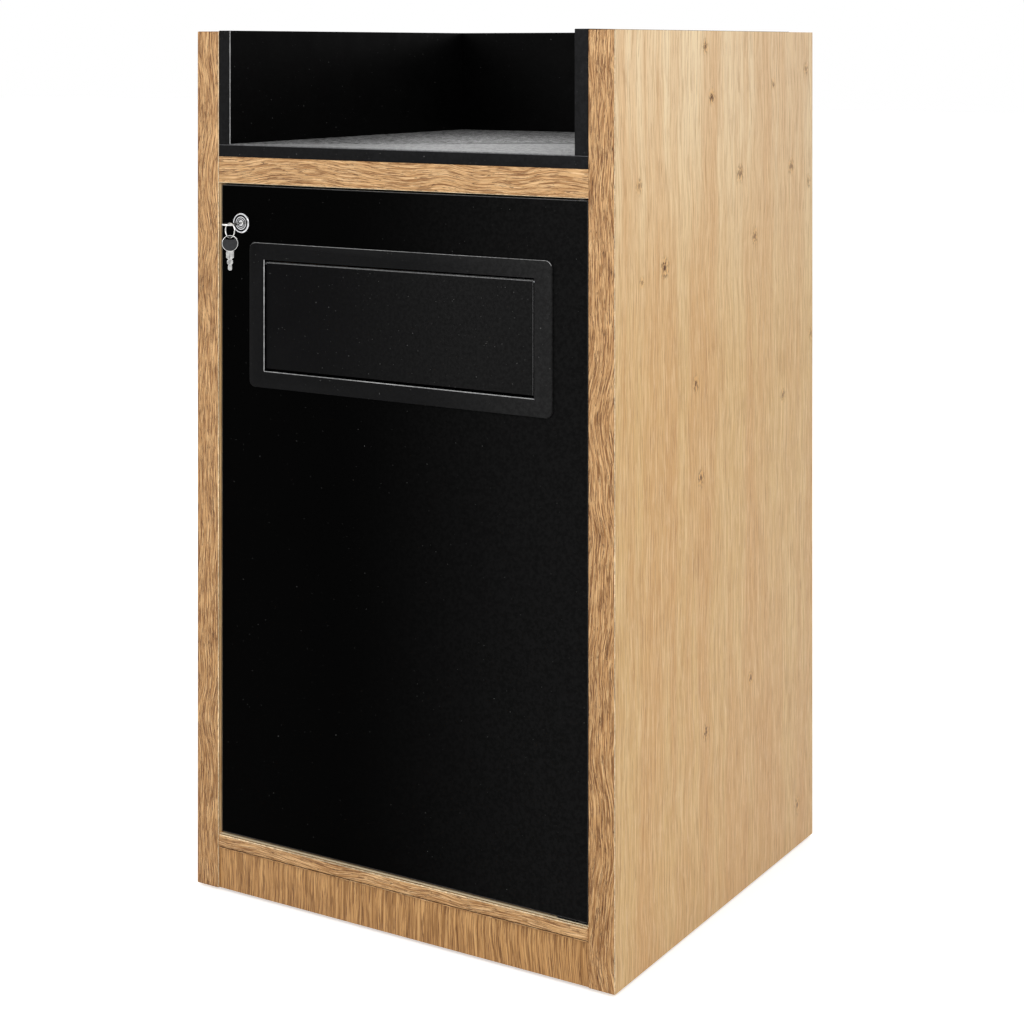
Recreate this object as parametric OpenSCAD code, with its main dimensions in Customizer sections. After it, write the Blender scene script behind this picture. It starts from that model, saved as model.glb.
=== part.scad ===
// Tray top trash cabinet: an oak-faced box with a black door, a push flap and a tray shelf on top.
// Millimetres, +Z up. The origin is on the floor, in the middle of everything the cabinet covers.

/* [Cabinet] */
// Overall width across the two side panels
body_w = 600; // [560:5:720]
// Overall depth from front edges to back face
body_d = 555; // [500:5:650]
// Overall height from floor to the top of the tray liners
body_h = 1080; // [1000:5:1200]
// How far the liners and the back panel stand above the side panels
liner_proud = 1; // [0.5:0.5:3]
// Thickness of each side panel
side_t = 34; // [28:0.5:38]
// Thickness of the edging strips on front edges and door edges
edging_t = 1; // [0.8:0.1:2]
// Radius of the two front arrises of an edging strip
arris_r = 0.4; // [0.1:0.05:0.4]
// Height that the glides hold the cabinet off the floor
glide_h = 3; // [2:0.5:6]
// Diameter of a floor glide
glide_d = 22; // [16:1:26]
// Diameter of the nail of a floor glide
glide_nail_d = 4; // [3:0.5:6]
// Length of the nail of a floor glide
glide_nail_len = 14; // [10:1:25]
// Distance of each glide from the front or back edge
glide_inset = 45; // [30:5:80]

/* [Tray top] */
// Height of the tray walls above the tray surface
tray_wall_h = 142; // [90:1:180]
// Thickness of the black liners beside the tray
liner_t = 18; // [12:0.5:22]
// Thickness of the tray shelf board without its laminate
shelf_t = 15; // [12:0.5:22]
// Thickness of the laminate sheet on the tray
laminate_t = 1; // [0.6:0.1:2]

/* [Carcass boards] */
// Thickness of the top panel, whose edge shows as the oak rail
rail_t = 33; // [25:0.5:38]
// Thickness of the floor panel
floor_t = 17; // [15:0.5:22]
// Height of the underside of the floor panel
floor_z = 54; // [45:1:90]
// Thickness of the back panel
back_t = 18; // [12:0.5:22]
// Thickness of the front and rear kick boards
kick_t = 16; // [12:0.5:20]
// Distance of the kick board behind the front plane
kick_recess = 1.5; // [0.5:0.5:20]
// Side of the square glue blocks behind the kick boards
block_side = 25; // [18:1:35]
// Height of a glue block
block_h = 40; // [25:1:41]

/* [Door] */
// Thickness of the door
door_t = 18; // [16:0.5:22]
// Distance of the door face behind the front plane
door_recess = 3.5; // [2:0.5:8]
// Gap all round the door
door_gap = 2.5; // [2.2:0.1:4]
// Side of the square stop rail behind the top of the door
stop_side = 18; // [14:1:24]
// Distance of the stop rail from the rear of the door
stop_gap = 2; // [1.5:0.5:4]
// Diameter of a door bumper
bumper_d = 10; // [8:1:13]
// Clearance between a bumper and the closed door
bumper_gap = 0.3; // [0.2:0.1:0.5]

/* [Door pivots] */
// Distance of the pivot axis from the hinge edge of the door
pivot_in = 9; // [8:0.5:11]
// Distance of the pivot axis behind the door face
pivot_back = 6; // [5.8:0.1:6.2]
// Diameter of a pivot pin
pivot_pin_d = 5; // [4:0.5:5.5]
// Outer diameter of the bush that turns on the pin
bush_d = 8; // [7.5:0.5:9]
// Diameter of the flange of the bush
bush_flange_d = 11; // [10:0.5:11.5]
// Depth of the bush in the door edge
bush_len = 14; // [10:1:20]
// Length of the pin inside the bush
pivot_grip = 11; // [7:0.5:12]
// Radial clearance of every turning fit
turn_gap = 0.05; // [0.02:0.01:0.1]
// Thickness of the pivot plates
pivot_plate_t = 3; // [2:0.5:4]
// Length of a pivot plate
pivot_plate_l = 40; // [38:1:50]
// Width of a pivot plate
pivot_plate_w = 18; // [16:1:24]

/* [Flap unit] */
// Width of the bezel beside the opening
bezel_side = 23.5; // [22:0.5:28]
// Height of the bezel above and below the opening
bezel_end = 21; // [20.5:0.5:26]
// Thickness of the bezel in front of the door face
bezel_t = 3; // [2.5:0.5:5]
// Radius of the bezel corners
bezel_r = 9; // [4:0.5:14]
// Distance from the top of the door to the top of the bezel
bezel_drop = 70; // [66:1:110]
// Width of the opening that the flap fills
mouth_w = 389; // [320:1:392]
// Height of the opening that the flap fills
mouth_h = 137.5; // [110:0.5:139]
// Room between the opening and the wall of the collar behind it
collar_room = 4.5; // [4:0.5:6]
// Wall of the collar that goes through the door
collar_wall = 2.5; // [2:0.1:3]
// Clearance of the collar in the door cut-out
collar_gap = 0.5; // [0.3:0.1:1]
// Thickness of the retaining frame behind the door
retainer_t = 3; // [2:0.5:5]
// Diameter of the six screw bosses behind the bezel
boss_d = 8; // [7:0.5:8]
// Length of a screw boss
boss_len = 12; // [8:1:15]
// Distance between neighbouring screw bosses
boss_step = 150; // [100:5:170]

/* [Flap] */
// Gap above the flap and at its sides
flap_gap = 2; // [1.5:0.1:3]
// Gap below the flap
flap_low_gap = 3; // [1.5:0.1:3.5]
// Depth of the flap face behind the bezel face
flap_recess = 1.5; // [0.5:0.1:2]
// Thickness of the flap
flap_t = 3; // [2.5:0.1:4]
// Radius of the rolled top edge of the flap
flap_roll_r = 2.5; // [2.5:0.1:3]
// Diameter of the flap pivot pins
flap_pin_d = 3; // [2:0.5:3.5]
// Length of a flap pin inside the flap
flap_pin_grip = 12; // [8:1:20]
// Depth of the stiffening rim at the sides of the flap
side_rim_depth = 12; // [6:0.5:12.5]
// Depth of the stiffening rim at the bottom of the flap
bottom_rim_depth = 20; // [16:0.5:24]
// Thickness of the stiffening rims
rim_t = 2.8; // [2:0.1:4]
// Reach of the stop lip behind the lower border of the bezel
stop_lip = 3; // [2:0.5:4]

/* [Lock] */
// Diameter of the round lock face
lock_face_d = 25; // [22:0.5:27]
// Distance of the lock axis from the free edge of the door
lock_in = 32; // [30:0.5:34]
// Distance of the lock axis below the top of the door
lock_drop = 47; // [45:0.5:48]
// Height of the lock face in front of the door
lock_face_t = 3; // [2:0.5:4]
// Diameter of the threaded lock barrel
barrel_d = 19; // [17:0.5:20]
// Length of the barrel behind the door face
barrel_len = 24.4; // [23.5:0.1:28]
// Diameter of the turning plug
plug_d = 12; // [11.5:0.5:13]
// Width across the flats of the lock nut
nut_flats = 24; // [22:0.5:24]
// Thickness of the lock nut
nut_t = 3.5; // [2.5:0.5:3.5]
// Reach of the cam from the lock axis
cam_reach = 30; // [26:0.5:31]
// Thickness of the cam and the strike bracket
cam_t = 2; // [1.5:0.1:2]
// Side of the square end of the plug that turns the cam
cam_square = 6; // [5:0.5:7]
// Gap between the strike flange and the locked cam
strike_gap = 0.8; // [0.4:0.1:1]
// Reach of the strike flange from the side panel
strike_reach = 20; // [14:0.5:20]
// Height of the strike bracket
strike_h = 44; // [38:1:60]
// Length of the strike leg along the side panel
strike_leg = 26; // [20:1:40]

/* [Keys] */
// Diameter of the round key head
key_head_d = 20; // [20:0.5:21]
// Thickness of the key head
key_head_t = 2.6; // [2.4:0.1:3]
// Thickness of the key blade
key_blade_t = 2; // [1.6:0.1:2]
// Distance from the lock face side of the door to the middle of the key head
key_out = 24; // [24:0.1:25]
// Radius of the key ring to the middle of its wire
ring_r = 9; // [8.9:0.1:9.5]
// Diameter of the key ring wire
ring_wire_d = 1.2; // [1:0.1:1.3]

/* [Waste bin] */
// Room between each side panel and the bin rim
bin_side_room = 38; // [30:1:80]
// Room between the door and the bin rim
bin_front_room = 58; // [50:1:90]
// Room between the back panel and the bin rim
bin_back_room = 40; // [30:1:90]
// Drop from the stop lip of the flap to the bin rim
bin_headroom = 24; // [22:1:60]
// Wall of the bin
bin_wall = 3; // [2.5:0.1:4]
// How far each wall leans in from rim to base
bin_draft = 30; // [15:1:45]
// Corner radius of the bin
bin_corner_r = 40; // [30:1:60]
// Width of the rolled rim outside the wall
bin_rim_w = 12; // [8:1:16]
// Depth of the turned-down lip of the rim
bin_lip_h = 16; // [10:1:25]
// Side of the square cleats that keep the bin in place
cleat_side = 15; // [10:1:17]
// Gap between a cleat and the base of the bin
cleat_gap = 3; // [2:0.5:6]
// Length of a cleat
cleat_len = 240; // [150:10:260]

/* [Fasteners] */
// Diameter of the wooden dowels
dowel_d = 8; // [6:1:8]
// Length of a dowel inside each board
dowel_half = 14; // [10:1:20]
// Diameter of the cam housings in the panel undersides
housing_d = 15; // [12:1:15]
// Diameter of the bolts that the housings pull
bolt_d = 6; // [5:0.5:7]
// Depth of a bolt in the side panel
bolt_in_side = 12; // [8:1:16]
// Distance of a housing from the panel end
housing_in = 34; // [28:1:40]
// Distance of the bolts from the front and back of the panels
bolt_inset = 70; // [60:5:100]
// Distance of the dowels from the front and back of the panels
dowel_inset = 120; // [110:5:150]
// Shank diameter of the wood screws
screw_d = 3.4; // [2.8:0.2:3.6]
// Length of a screw in the wood
screw_len = 13; // [8:1:13]
// Diameter of a screw head
screw_head_d = 7; // [6:0.5:7.5]
// Height of a screw head
screw_head_h = 1.8; // [1.2:0.1:2]

/* [Hidden] */
$fn = 48;

// A cut goes this far past the surface that it opens
past = 1;

// The spare key hangs turned this far from square to the door, and the ring the other way
spare_turn = 31;
ring_turn = -12.6;
// Middle of the key ring, sideways and forward of the lock axis on the door face
ring_side = 6.1;
ring_out = 31.2;
// Clearance between the ring and the keys that it holds
ring_gap = 0.3;

// Front plane, set so that the origin is in the middle of cabinet and keys together
key_forward = ring_out + key_head_d / 2 * sin(spare_turn) + key_head_t / 2 * cos(spare_turn)
  - door_recess;
front = (key_forward - body_d) / 2;
back = front + body_d;

// Width and heights of the carcass
inner_w = body_w - 2 * side_t;
inner_x = inner_w / 2;
side_top = body_h - liner_proud;
tray_z = body_h - tray_wall_h;
shelf_z = tray_z - laminate_t - shelf_t;
rail_z = shelf_z - rail_t;
floor_top = floor_z + floor_t;
board_front = front + edging_t;
back_face = back - back_t;
panel_d = back_face - board_front;
// Mid-heights and thicknesses of the two boards that cam fittings hold
held_boards = [[floor_z, floor_t], [rail_z, rail_t]];
bolt_ys = [board_front + bolt_inset, back_face - bolt_inset];
dowel_ys = [board_front + dowel_inset, back_face - dowel_inset];
glide_ys = [front + glide_inset, back - glide_inset];
back_screw_xs = [-0.42, -0.14, 0.14, 0.42] * inner_w;

// Door
door_y = front + door_recess;
door_back = door_y + door_t;
door_w = inner_w - 2 * door_gap;
door_x = door_w / 2;
door_z = floor_top + door_gap;
door_top = rail_z - door_gap;
pivot_x = door_x - pivot_in;
pivot_y = door_y + pivot_back;
plate_end = pivot_x + pivot_pin_d + 2;
plate_front = pivot_y - pivot_pin_d;
pivot_screw_xs = [pivot_x - 11, pivot_x - 23];
pivot_screw_y = pivot_y + 4;
stop_y = door_back + stop_gap;
stop_x = pivot_x - pivot_plate_l;

// Flap unit
bezel_w = mouth_w + 2 * bezel_side;
bezel_h = mouth_h + 2 * bezel_end;
bezel_z = door_top - bezel_drop - bezel_h / 2;
cavity_w = mouth_w + 2 * collar_room;
cavity_h = mouth_h + 2 * collar_room;
collar_w = cavity_w + 2 * collar_wall;
collar_h = cavity_h + 2 * collar_wall;
cutout_w = collar_w + 2 * collar_gap;
cutout_h = collar_h + 2 * collar_gap;
boss_z = (cutout_h + bezel_h) / 4;
boss_xs = [-boss_step, 0, boss_step];
pilot_d = screw_d - 0.4;
ear_h = 10;
ear_depth = 6;

// Flap
flap_w = mouth_w - 2 * flap_gap;
flap_y = door_y - bezel_t + flap_recess;
flap_axis_y = flap_y + flap_roll_r;
flap_axis_z = bezel_z + mouth_h / 2 - flap_gap - flap_roll_r;
flap_bottom = bezel_z - mouth_h / 2 + flap_low_gap;
lip_bottom = bezel_z - mouth_h / 2 - stop_lip;
lip_t = 2;
lip_clear = 0.3;
side_rim_start = 20;

// Lock
lock_x = -door_x + lock_in;
lock_z = door_top - lock_drop;
plug_r = plug_d / 2;
cam_y = door_y + barrel_len + 0.1;
cam_r = 8;
cam_tip_r = 5;
strike_y = cam_y - strike_gap - cam_t;
strike_screw_y = strike_y + strike_leg * 0.65;
strike_screw_zs = [lock_z - strike_h * 0.36, lock_z + strike_h * 0.36];
keyway_w = 7.8;
keyway_t = key_blade_t + 0.4;
keyway_deep = 12;
cam_screw_d = 4;
cam_screw_len = 8;
cam_screw_head_d = 9;

// Keys: lengths run from the middle of the head towards the tip of the blade
slot_at = 6.2;
slot_w = 11;
slot_h = 3.5;
tang_from = 5;
tang_w = 6;
ring_drop = ring_r - key_head_t / 2 - ring_wire_d / 2 - ring_gap;
spare_drop = ring_drop + ring_r + slot_at - slot_h / 2 + ring_wire_d / 2 - 2 * ring_gap
  + slot_h - ring_wire_d;

// Waste bin
bin_w = inner_w - 2 * bin_side_room;
bin_front = door_back + bin_front_room;
bin_d = back_face - bin_back_room - bin_front;
bin_y = bin_front + bin_d / 2;
bin_h = lip_bottom - bin_headroom - floor_top;
bin_top_w = bin_w - 2 * bin_rim_w;
bin_top_d = bin_d - 2 * bin_rim_w;
bin_base_w = bin_top_w - 2 * bin_draft;
bin_base_d = bin_top_d - 2 * bin_draft;

// Colours
oak = "burlywood";
oak_edge = "peru";
black_board = [0.08, 0.08, 0.08];
black_plastic = [0.16, 0.16, 0.16];
tray_grey = [0.5, 0.5, 0.5];
steel = "silver";
beech = "wheat";

// A box between two corners
module box(low, high) {
  translate(low) cube(high - low);
}

// A cylinder that runs from its place towards +Y
module y_rod(d, len) {
  rotate([-90, 0, 0]) cylinder(d = d, h = len);
}

// A cylinder that is centred on its place and lies along X
module x_rod(d, len) {
  rotate([0, 90, 0]) cylinder(d = d, h = len, center = true);
}

// An upright sheet: its 2D children are drawn in X and Z and reach from y0 to y1
module upright(y0, y1) {
  translate([0, y1, 0]) rotate([90, 0, 0]) linear_extrude(y1 - y0) children();
}

// A rectangle about the origin with round corners
module round_rect(w, h, r) {
  square([w - 2 * r, h], center = true);
  square([w, h - 2 * r], center = true);
  for (sx = [-1, 1], sy = [-1, 1])
    translate([sx * (w / 2 - r), sy * (h / 2 - r)]) circle(r);
}

// An edging strip in plan: its two front corners are rounded off
module edging_plan(w) {
  translate([-w / 2, arris_r]) square([w, edging_t - arris_r]);
  translate([-w / 2 + arris_r, 0]) square([w - 2 * arris_r, edging_t]);
  for (s = [-1, 1])
    translate([s * (w / 2 - arris_r), arris_r]) circle(arris_r);
}

// An edging strip that lies along X, with its section upright
module edging_bar(w, h) {
  translate([-w / 2, front, h / 2]) rotate([90, 0, 90]) linear_extrude(w) rotate(90)
    mirror([0, 1]) edging_plan(h);
}

// Places of the cam bolts or dowels: one child per panel end
module at_panel_ends(ys) {
  for (b = held_boards, y = ys, s = [-1, 1])
    translate([s * inner_x, y, b[0] + b[1] / 2]) children();
}

// Bores for the fittings in the side panels
module fitting_bores() {
  at_panel_ends(bolt_ys) x_rod(bolt_d, 2 * bolt_in_side);
  at_panel_ends(dowel_ys) x_rod(dowel_d, 2 * dowel_half);
}

// Bores in the panel ends, as deep as the middle of the cam housings
module panel_bolt_bores() {
  at_panel_ends(bolt_ys) x_rod(bolt_d, 2 * housing_in);
}

module glide_nails(extra) {
  for (s = [-1, 1], y = glide_ys)
    translate([s * (inner_x + side_t / 2), y, glide_h - extra])
      cylinder(d = glide_nail_d, h = glide_nail_len + extra);
}

module side_panel(s) {
  color(oak) difference() {
    box([min(s * inner_x, s * body_w / 2), board_front, glide_h],
        [max(s * inner_x, s * body_w / 2), back, side_top]);
    fitting_bores();
    glide_nails(past);
    if (s < 0) strike_screw_shanks();
  }
}

module left_side_panel() {
  side_panel(-1);
}

module right_side_panel() {
  side_panel(1);
}

module side_edging(s) {
  color(oak_edge) translate([s * (inner_x + side_t / 2), front, glide_h])
    linear_extrude(side_top - glide_h) edging_plan(side_t);
}

module left_front_edging() {
  side_edging(-1);
}

module right_front_edging() {
  side_edging(1);
}

// A board between the side panels, bored at its ends for the fittings
module held_board(z, t) {
  difference() {
    box([-inner_x, board_front, z], [inner_x, back_face, z + t]);
    panel_bolt_bores();
    at_panel_ends(dowel_ys) x_rod(dowel_d, 2 * dowel_half);
    housings(past);
    back_screw_shanks();
    pivot_screw_shanks();
  }
}

module top_panel() {
  color(oak) difference() {
    held_board(rail_z, rail_t);
    pivot_plate_box(rail_z, rail_z + pivot_plate_t, past);
  }
}

module top_rail_edging() {
  color(oak_edge) translate([0, 0, rail_z]) edging_bar(inner_w, rail_t);
}

module floor_panel() {
  color(oak) difference() {
    held_board(floor_z, floor_t);
    pivot_plate_box(floor_top - pivot_plate_t, floor_top, past);
  }
}

module floor_panel_edging() {
  color(oak_edge) translate([0, 0, floor_z]) edging_bar(inner_w, floor_t);
}

module tray_shelf() {
  color(black_board)
    box([-inner_x, front, shelf_z], [inner_x, back_face, shelf_z + shelf_t]);
}

// The laminate stops at the liners, which stand on the board beside it
module tray_surface() {
  color(tray_grey)
    box([-inner_x + liner_t, front, tray_z - laminate_t],
        [inner_x - liner_t, back_face, tray_z]);
}

module tray_liner(s) {
  color(black_board)
    box([min(s * inner_x, s * (inner_x - liner_t)), front, tray_z - laminate_t],
        [max(s * inner_x, s * (inner_x - liner_t)), back_face, body_h]);
}

module left_tray_liner() {
  tray_liner(-1);
}

module right_tray_liner() {
  tray_liner(1);
}

// Screws through the back panel into the rear edges of the two held boards
module back_screw_shanks() {
  for (b = held_boards, x = back_screw_xs)
    translate([x, back_face - screw_len, b[0] + b[1] / 2])
      y_rod(screw_d, screw_len + back_t);
}

module back_screw_heads(extra) {
  for (b = held_boards, x = back_screw_xs)
    translate([x, back - screw_head_h, b[0] + b[1] / 2])
      y_rod(screw_head_d, screw_head_h + extra);
}

module back_panel() {
  color(black_board) difference() {
    box([-inner_x, back_face, glide_h], [inner_x, back, body_h]);
    back_screw_shanks();
    back_screw_heads(past);
  }
}

module back_panel_screws() {
  color(steel) {
    back_screw_shanks();
    back_screw_heads(0);
  }
}

module kick_board() {
  color(oak_edge)
    box([-inner_x, front + kick_recess, glide_h],
        [inner_x, front + kick_recess + kick_t, floor_z]);
}

module rear_kick_board() {
  color(oak) box([-inner_x, back_face - kick_t, glide_h], [inner_x, back_face, floor_z]);
}

// Wooden blocks glued in the corners between kick boards, side panels and floor panel
module glue_blocks() {
  block_ys = [front + kick_recess + kick_t, back_face - kick_t - block_side];
  color(beech) for (s = [-1, 1], y = block_ys)
    box([s * (inner_x - block_side / 2) - block_side / 2, y, floor_z - block_h],
        [s * (inner_x - block_side / 2) + block_side / 2, y + block_side, floor_z]);
}

module floor_glides() {
  color(black_plastic) {
    for (s = [-1, 1], y = glide_ys)
      translate([s * (inner_x + side_t / 2), y, 0]) cylinder(d = glide_d, h = glide_h);
    glide_nails(0);
  }
}

// Two side cleats and one rear cleat round the base of the bin
module bin_cleats() {
  side_at = bin_base_w / 2 + cleat_gap;
  rear_at = bin_y + bin_base_d / 2 + cleat_gap;
  color(beech) {
    for (s = [-1, 1])
      translate([s * (side_at + cleat_side / 2), bin_y, floor_top + cleat_side / 2])
        cube([cleat_side, cleat_len, cleat_side], center = true);
    translate([0, rear_at + cleat_side / 2, floor_top + cleat_side / 2])
      cube([cleat_len, cleat_side, cleat_side], center = true);
  }
}

module door_stop_rail() {
  color(black_board)
    box([-stop_x, stop_y, rail_z - stop_side], [stop_x, stop_y + stop_side, rail_z]);
}

module door_bumpers() {
  color(black_plastic) for (s = [-1, 1])
    translate([s * (stop_x - bumper_d), door_back + bumper_gap, rail_z - stop_side / 2])
      y_rod(bumper_d, stop_gap - bumper_gap);
}

module strike_screw_shanks() {
  for (z = strike_screw_zs)
    translate([-inner_x + cam_t - (screw_len + cam_t) / 2, strike_screw_y, z])
      x_rod(screw_d, screw_len + cam_t);
}

// Angle bracket on the left side panel that the turned cam hooks behind
module strike_bracket() {
  low_z = lock_z - strike_h / 2;
  high_z = lock_z + strike_h / 2;
  color(steel) difference() {
    union() {
      box([-inner_x, strike_y, low_z], [-inner_x + strike_reach, strike_y + cam_t, high_z]);
      box([-inner_x, strike_y, low_z], [-inner_x + cam_t, strike_y + strike_leg, high_z]);
    }
    strike_screw_shanks();
  }
}

module strike_screws() {
  color(steel) {
    strike_screw_shanks();
    for (z = strike_screw_zs)
      translate([-inner_x + cam_t + screw_head_h / 2, strike_screw_y, z])
        x_rod(screw_head_d, screw_head_h);
  }
}

// Pivot plates lie flush in the two boards, and their pins carry the door
module pivot_plate_box(z0, z1, extra) {
  box([plate_end - pivot_plate_l, plate_front, z0 - (z0 < door_z ? 0 : extra)],
      [plate_end, plate_front + pivot_plate_w, z1 + (z0 < door_z ? extra : 0)]);
}

module pivot_screw_heads(extra) {
  for (x = pivot_screw_xs) {
    translate([x, pivot_screw_y, floor_top - screw_head_h])
      cylinder(d = screw_head_d, h = screw_head_h + extra);
    translate([x, pivot_screw_y, rail_z - extra])
      cylinder(d = screw_head_d, h = screw_head_h + extra);
  }
}

module pivot_screw_shanks() {
  for (x = pivot_screw_xs) {
    translate([x, pivot_screw_y, floor_top - screw_len])
      cylinder(d = screw_d, h = screw_len);
    translate([x, pivot_screw_y, rail_z]) cylinder(d = screw_d, h = screw_len);
  }
}

module top_pivot_plate() {
  color(steel) {
    difference() {
      pivot_plate_box(rail_z, rail_z + pivot_plate_t, 0);
      pivot_screw_heads(past);
      pivot_screw_shanks();
    }
    translate([pivot_x, pivot_y, rail_z - door_gap - pivot_grip])
      cylinder(d = pivot_pin_d, h = door_gap + pivot_grip + past);
  }
}

module bottom_pivot_plate() {
  color(steel) {
    difference() {
      pivot_plate_box(floor_top - pivot_plate_t, floor_top, 0);
      pivot_screw_heads(past);
      pivot_screw_shanks();
    }
    translate([pivot_x, pivot_y, floor_top - past])
      cylinder(d = pivot_pin_d, h = door_gap + pivot_grip + past);
  }
}

module pivot_plate_screws() {
  color(steel) {
    pivot_screw_heads(0);
    pivot_screw_shanks();
  }
}

module panel_dowels() {
  color(beech) at_panel_ends(dowel_ys) x_rod(dowel_d, 2 * dowel_half);
}

// Cam housings are let in from below, just past the middle of each board
module housings(extra) {
  for (b = held_boards, y = bolt_ys, s = [-1, 1])
    translate([s * (inner_x - housing_in), y, b[0] - extra])
      cylinder(d = housing_d, h = b[1] / 2 + bolt_d / 2 + 1 + extra);
}

module cam_housings() {
  color(steel) difference() {
    housings(0);
    panel_bolt_bores();
  }
}

// Each bolt runs from the side panel to the middle of its housing
module cam_bolts() {
  color(steel) for (b = held_boards, y = bolt_ys, s = [-1, 1])
    translate([s * (inner_x + (bolt_in_side - housing_in) / 2), y, b[0] + b[1] / 2])
      x_rod(bolt_d, bolt_in_side + housing_in);
}

// Everything that is bored or cut through the door board and its edging
module door_cuts() {
  upright(door_y - past, door_back + past) translate([0, bezel_z])
    square([cutout_w, cutout_h], center = true);
  for (x = boss_xs, s = [-1, 1])
    translate([x, door_y - past, bezel_z + s * boss_z])
      y_rod(boss_d + 2 * collar_gap, door_t + 2 * past);
  translate([lock_x, door_y - past, lock_z])
    y_rod(barrel_d + 2 * collar_gap, door_t + 2 * past);
  translate([pivot_x, pivot_y, door_z - past]) cylinder(d = bush_d, h = bush_len + past);
  translate([pivot_x, pivot_y, door_top - bush_len]) cylinder(d = bush_d, h = bush_len + past);
}

module door_panel() {
  color(black_board) difference() {
    box([-door_x + edging_t, door_y, door_z + edging_t],
        [door_x - edging_t, door_back, door_top - edging_t]);
    door_cuts();
  }
}

module door_edging() {
  mid_z = (door_z + door_top) / 2;
  door_h = door_top - door_z;
  color(black_plastic) difference() {
    upright(door_y, door_back) translate([0, mid_z]) difference() {
      round_rect(door_w, door_h, arris_r);
      square([door_w - 2 * edging_t, door_h - 2 * edging_t], center = true);
    }
    door_cuts();
  }
}

// Flanged bushes in the bottom and top edges of the door
module pivot_bush() {
  flange_t = door_gap - ring_gap;
  difference() {
    union() {
      translate([0, 0, -flange_t]) cylinder(d = bush_flange_d, h = flange_t);
      cylinder(d = bush_d, h = bush_len);
    }
    translate([0, 0, -flange_t - past])
      cylinder(d = pivot_pin_d + 2 * turn_gap, h = flange_t + bush_len + 2 * past);
  }
}

module pivot_bushes() {
  color("ivory") {
    translate([pivot_x, pivot_y, door_z]) pivot_bush();
    translate([pivot_x, pivot_y, door_top]) mirror([0, 0, 1]) pivot_bush();
  }
}

module flap_bezel() {
  color(black_plastic) difference() {
    union() {
      upright(door_y - bezel_t, door_y) translate([0, bezel_z])
        round_rect(bezel_w, bezel_h, bezel_r);
      upright(door_y, door_back) translate([0, bezel_z])
        square([collar_w, collar_h], center = true);
      for (x = boss_xs, s = [-1, 1])
        translate([x, door_y, bezel_z + s * boss_z]) y_rod(boss_d, boss_len);
    }
    upright(door_y - bezel_t - past, door_back + past) translate([0, bezel_z])
      square([mouth_w, mouth_h], center = true);
    upright(door_y + ear_depth, door_back + past) translate([0, bezel_z])
      square([cavity_w, cavity_h], center = true);
    upright(door_y, door_back) translate([0, bezel_z]) difference() {
      square([cavity_w, cavity_h], center = true);
      translate([0, flap_axis_z - bezel_z]) square([cavity_w, ear_h], center = true);
    }
    upright(door_y, door_back) translate([0, flap_axis_z])
      square([mouth_w, ear_h + 2 * collar_room], center = true);
    translate([0, flap_axis_y, flap_axis_z])
      x_rod(flap_pin_d + 2 * turn_gap, collar_w + 2 * past);
    for (x = boss_xs, s = [-1, 1])
      translate([x, door_y + 1, bezel_z + s * boss_z]) y_rod(pilot_d, boss_len);
  }
}

module bezel_retainer() {
  color(black_plastic) difference() {
    upright(door_back, door_back + retainer_t) translate([0, bezel_z]) difference() {
      round_rect(bezel_w, bezel_h, bezel_r);
      square([cavity_w, cavity_h], center = true);
    }
    for (x = boss_xs, s = [-1, 1])
      translate([x, door_back - past, bezel_z + s * boss_z])
        y_rod(pilot_d, retainer_t + 2 * past);
  }
}

module retainer_screws() {
  grip = boss_len - 4;
  color(steel) for (x = boss_xs, s = [-1, 1])
    translate([x, door_y + boss_len - grip, bezel_z + s * boss_z]) {
      y_rod(pilot_d, door_t + retainer_t - boss_len + grip);
      translate([0, door_t + retainer_t - boss_len + grip, 0])
        y_rod(screw_head_d, screw_head_h);
    }
}

// The flap turns about its rolled top edge; its rims make it hang against the stop lip
module flap() {
  rim_y = flap_y + flap_t;
  color(black_plastic) difference() {
    union() {
      box([-flap_w / 2, flap_y, flap_bottom], [flap_w / 2, rim_y, flap_axis_z]);
      translate([0, flap_axis_y, flap_axis_z]) x_rod(2 * flap_roll_r, flap_w);
      for (s = [-1, 1])
        translate([s * (flap_w - rim_t) / 2, rim_y + side_rim_depth / 2 - past / 2,
                   (flap_bottom + flap_axis_z - side_rim_start) / 2])
          cube([rim_t, side_rim_depth + past, flap_axis_z - side_rim_start - flap_bottom],
               center = true);
      box([-flap_w / 2, rim_y - past, flap_bottom + rim_t / 2],
          [flap_w / 2, rim_y + bottom_rim_depth, flap_bottom + 1.5 * rim_t]);
      box([-flap_w / 2, door_y + lip_clear, lip_bottom],
          [flap_w / 2, door_y + lip_clear + lip_t, flap_bottom + rim_t]);
    }
    for (s = [-1, 1])
      translate([s * (flap_w / 2 - flap_pin_grip / 2 + past / 2), flap_axis_y, flap_axis_z])
        x_rod(flap_pin_d, flap_pin_grip + past);
  }
}

module flap_pins() {
  pin_len = flap_pin_grip + (collar_w - flap_w) / 2;
  color(steel) for (s = [-1, 1])
    translate([s * (collar_w / 2 - pin_len / 2), flap_axis_y, flap_axis_z])
      x_rod(flap_pin_d, pin_len);
}

// The lock body in section: radius against distance in front of the door face
module lock_section() {
  face_r = lock_face_d / 2;
  bore_r = plug_r + turn_gap;
  polygon([
    [bore_r, -barrel_len], [barrel_d / 2, -barrel_len], [barrel_d / 2, 0],
    [face_r, 0], [face_r, lock_face_t * 0.7], [face_r - 1, lock_face_t],
    [face_r - 2, lock_face_t], [face_r - 2.4, lock_face_t * 0.7],
    [face_r - 3.6, lock_face_t * 0.7], [face_r - 4, lock_face_t],
    [bore_r + 1, lock_face_t], [bore_r + 0.6, lock_face_t * 0.7],
    [bore_r, lock_face_t * 0.7]
  ]);
}

module lock_body() {
  color(steel) translate([lock_x, door_y, lock_z]) rotate([90, 0, 0])
    rotate_extrude() lock_section();
}

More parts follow.
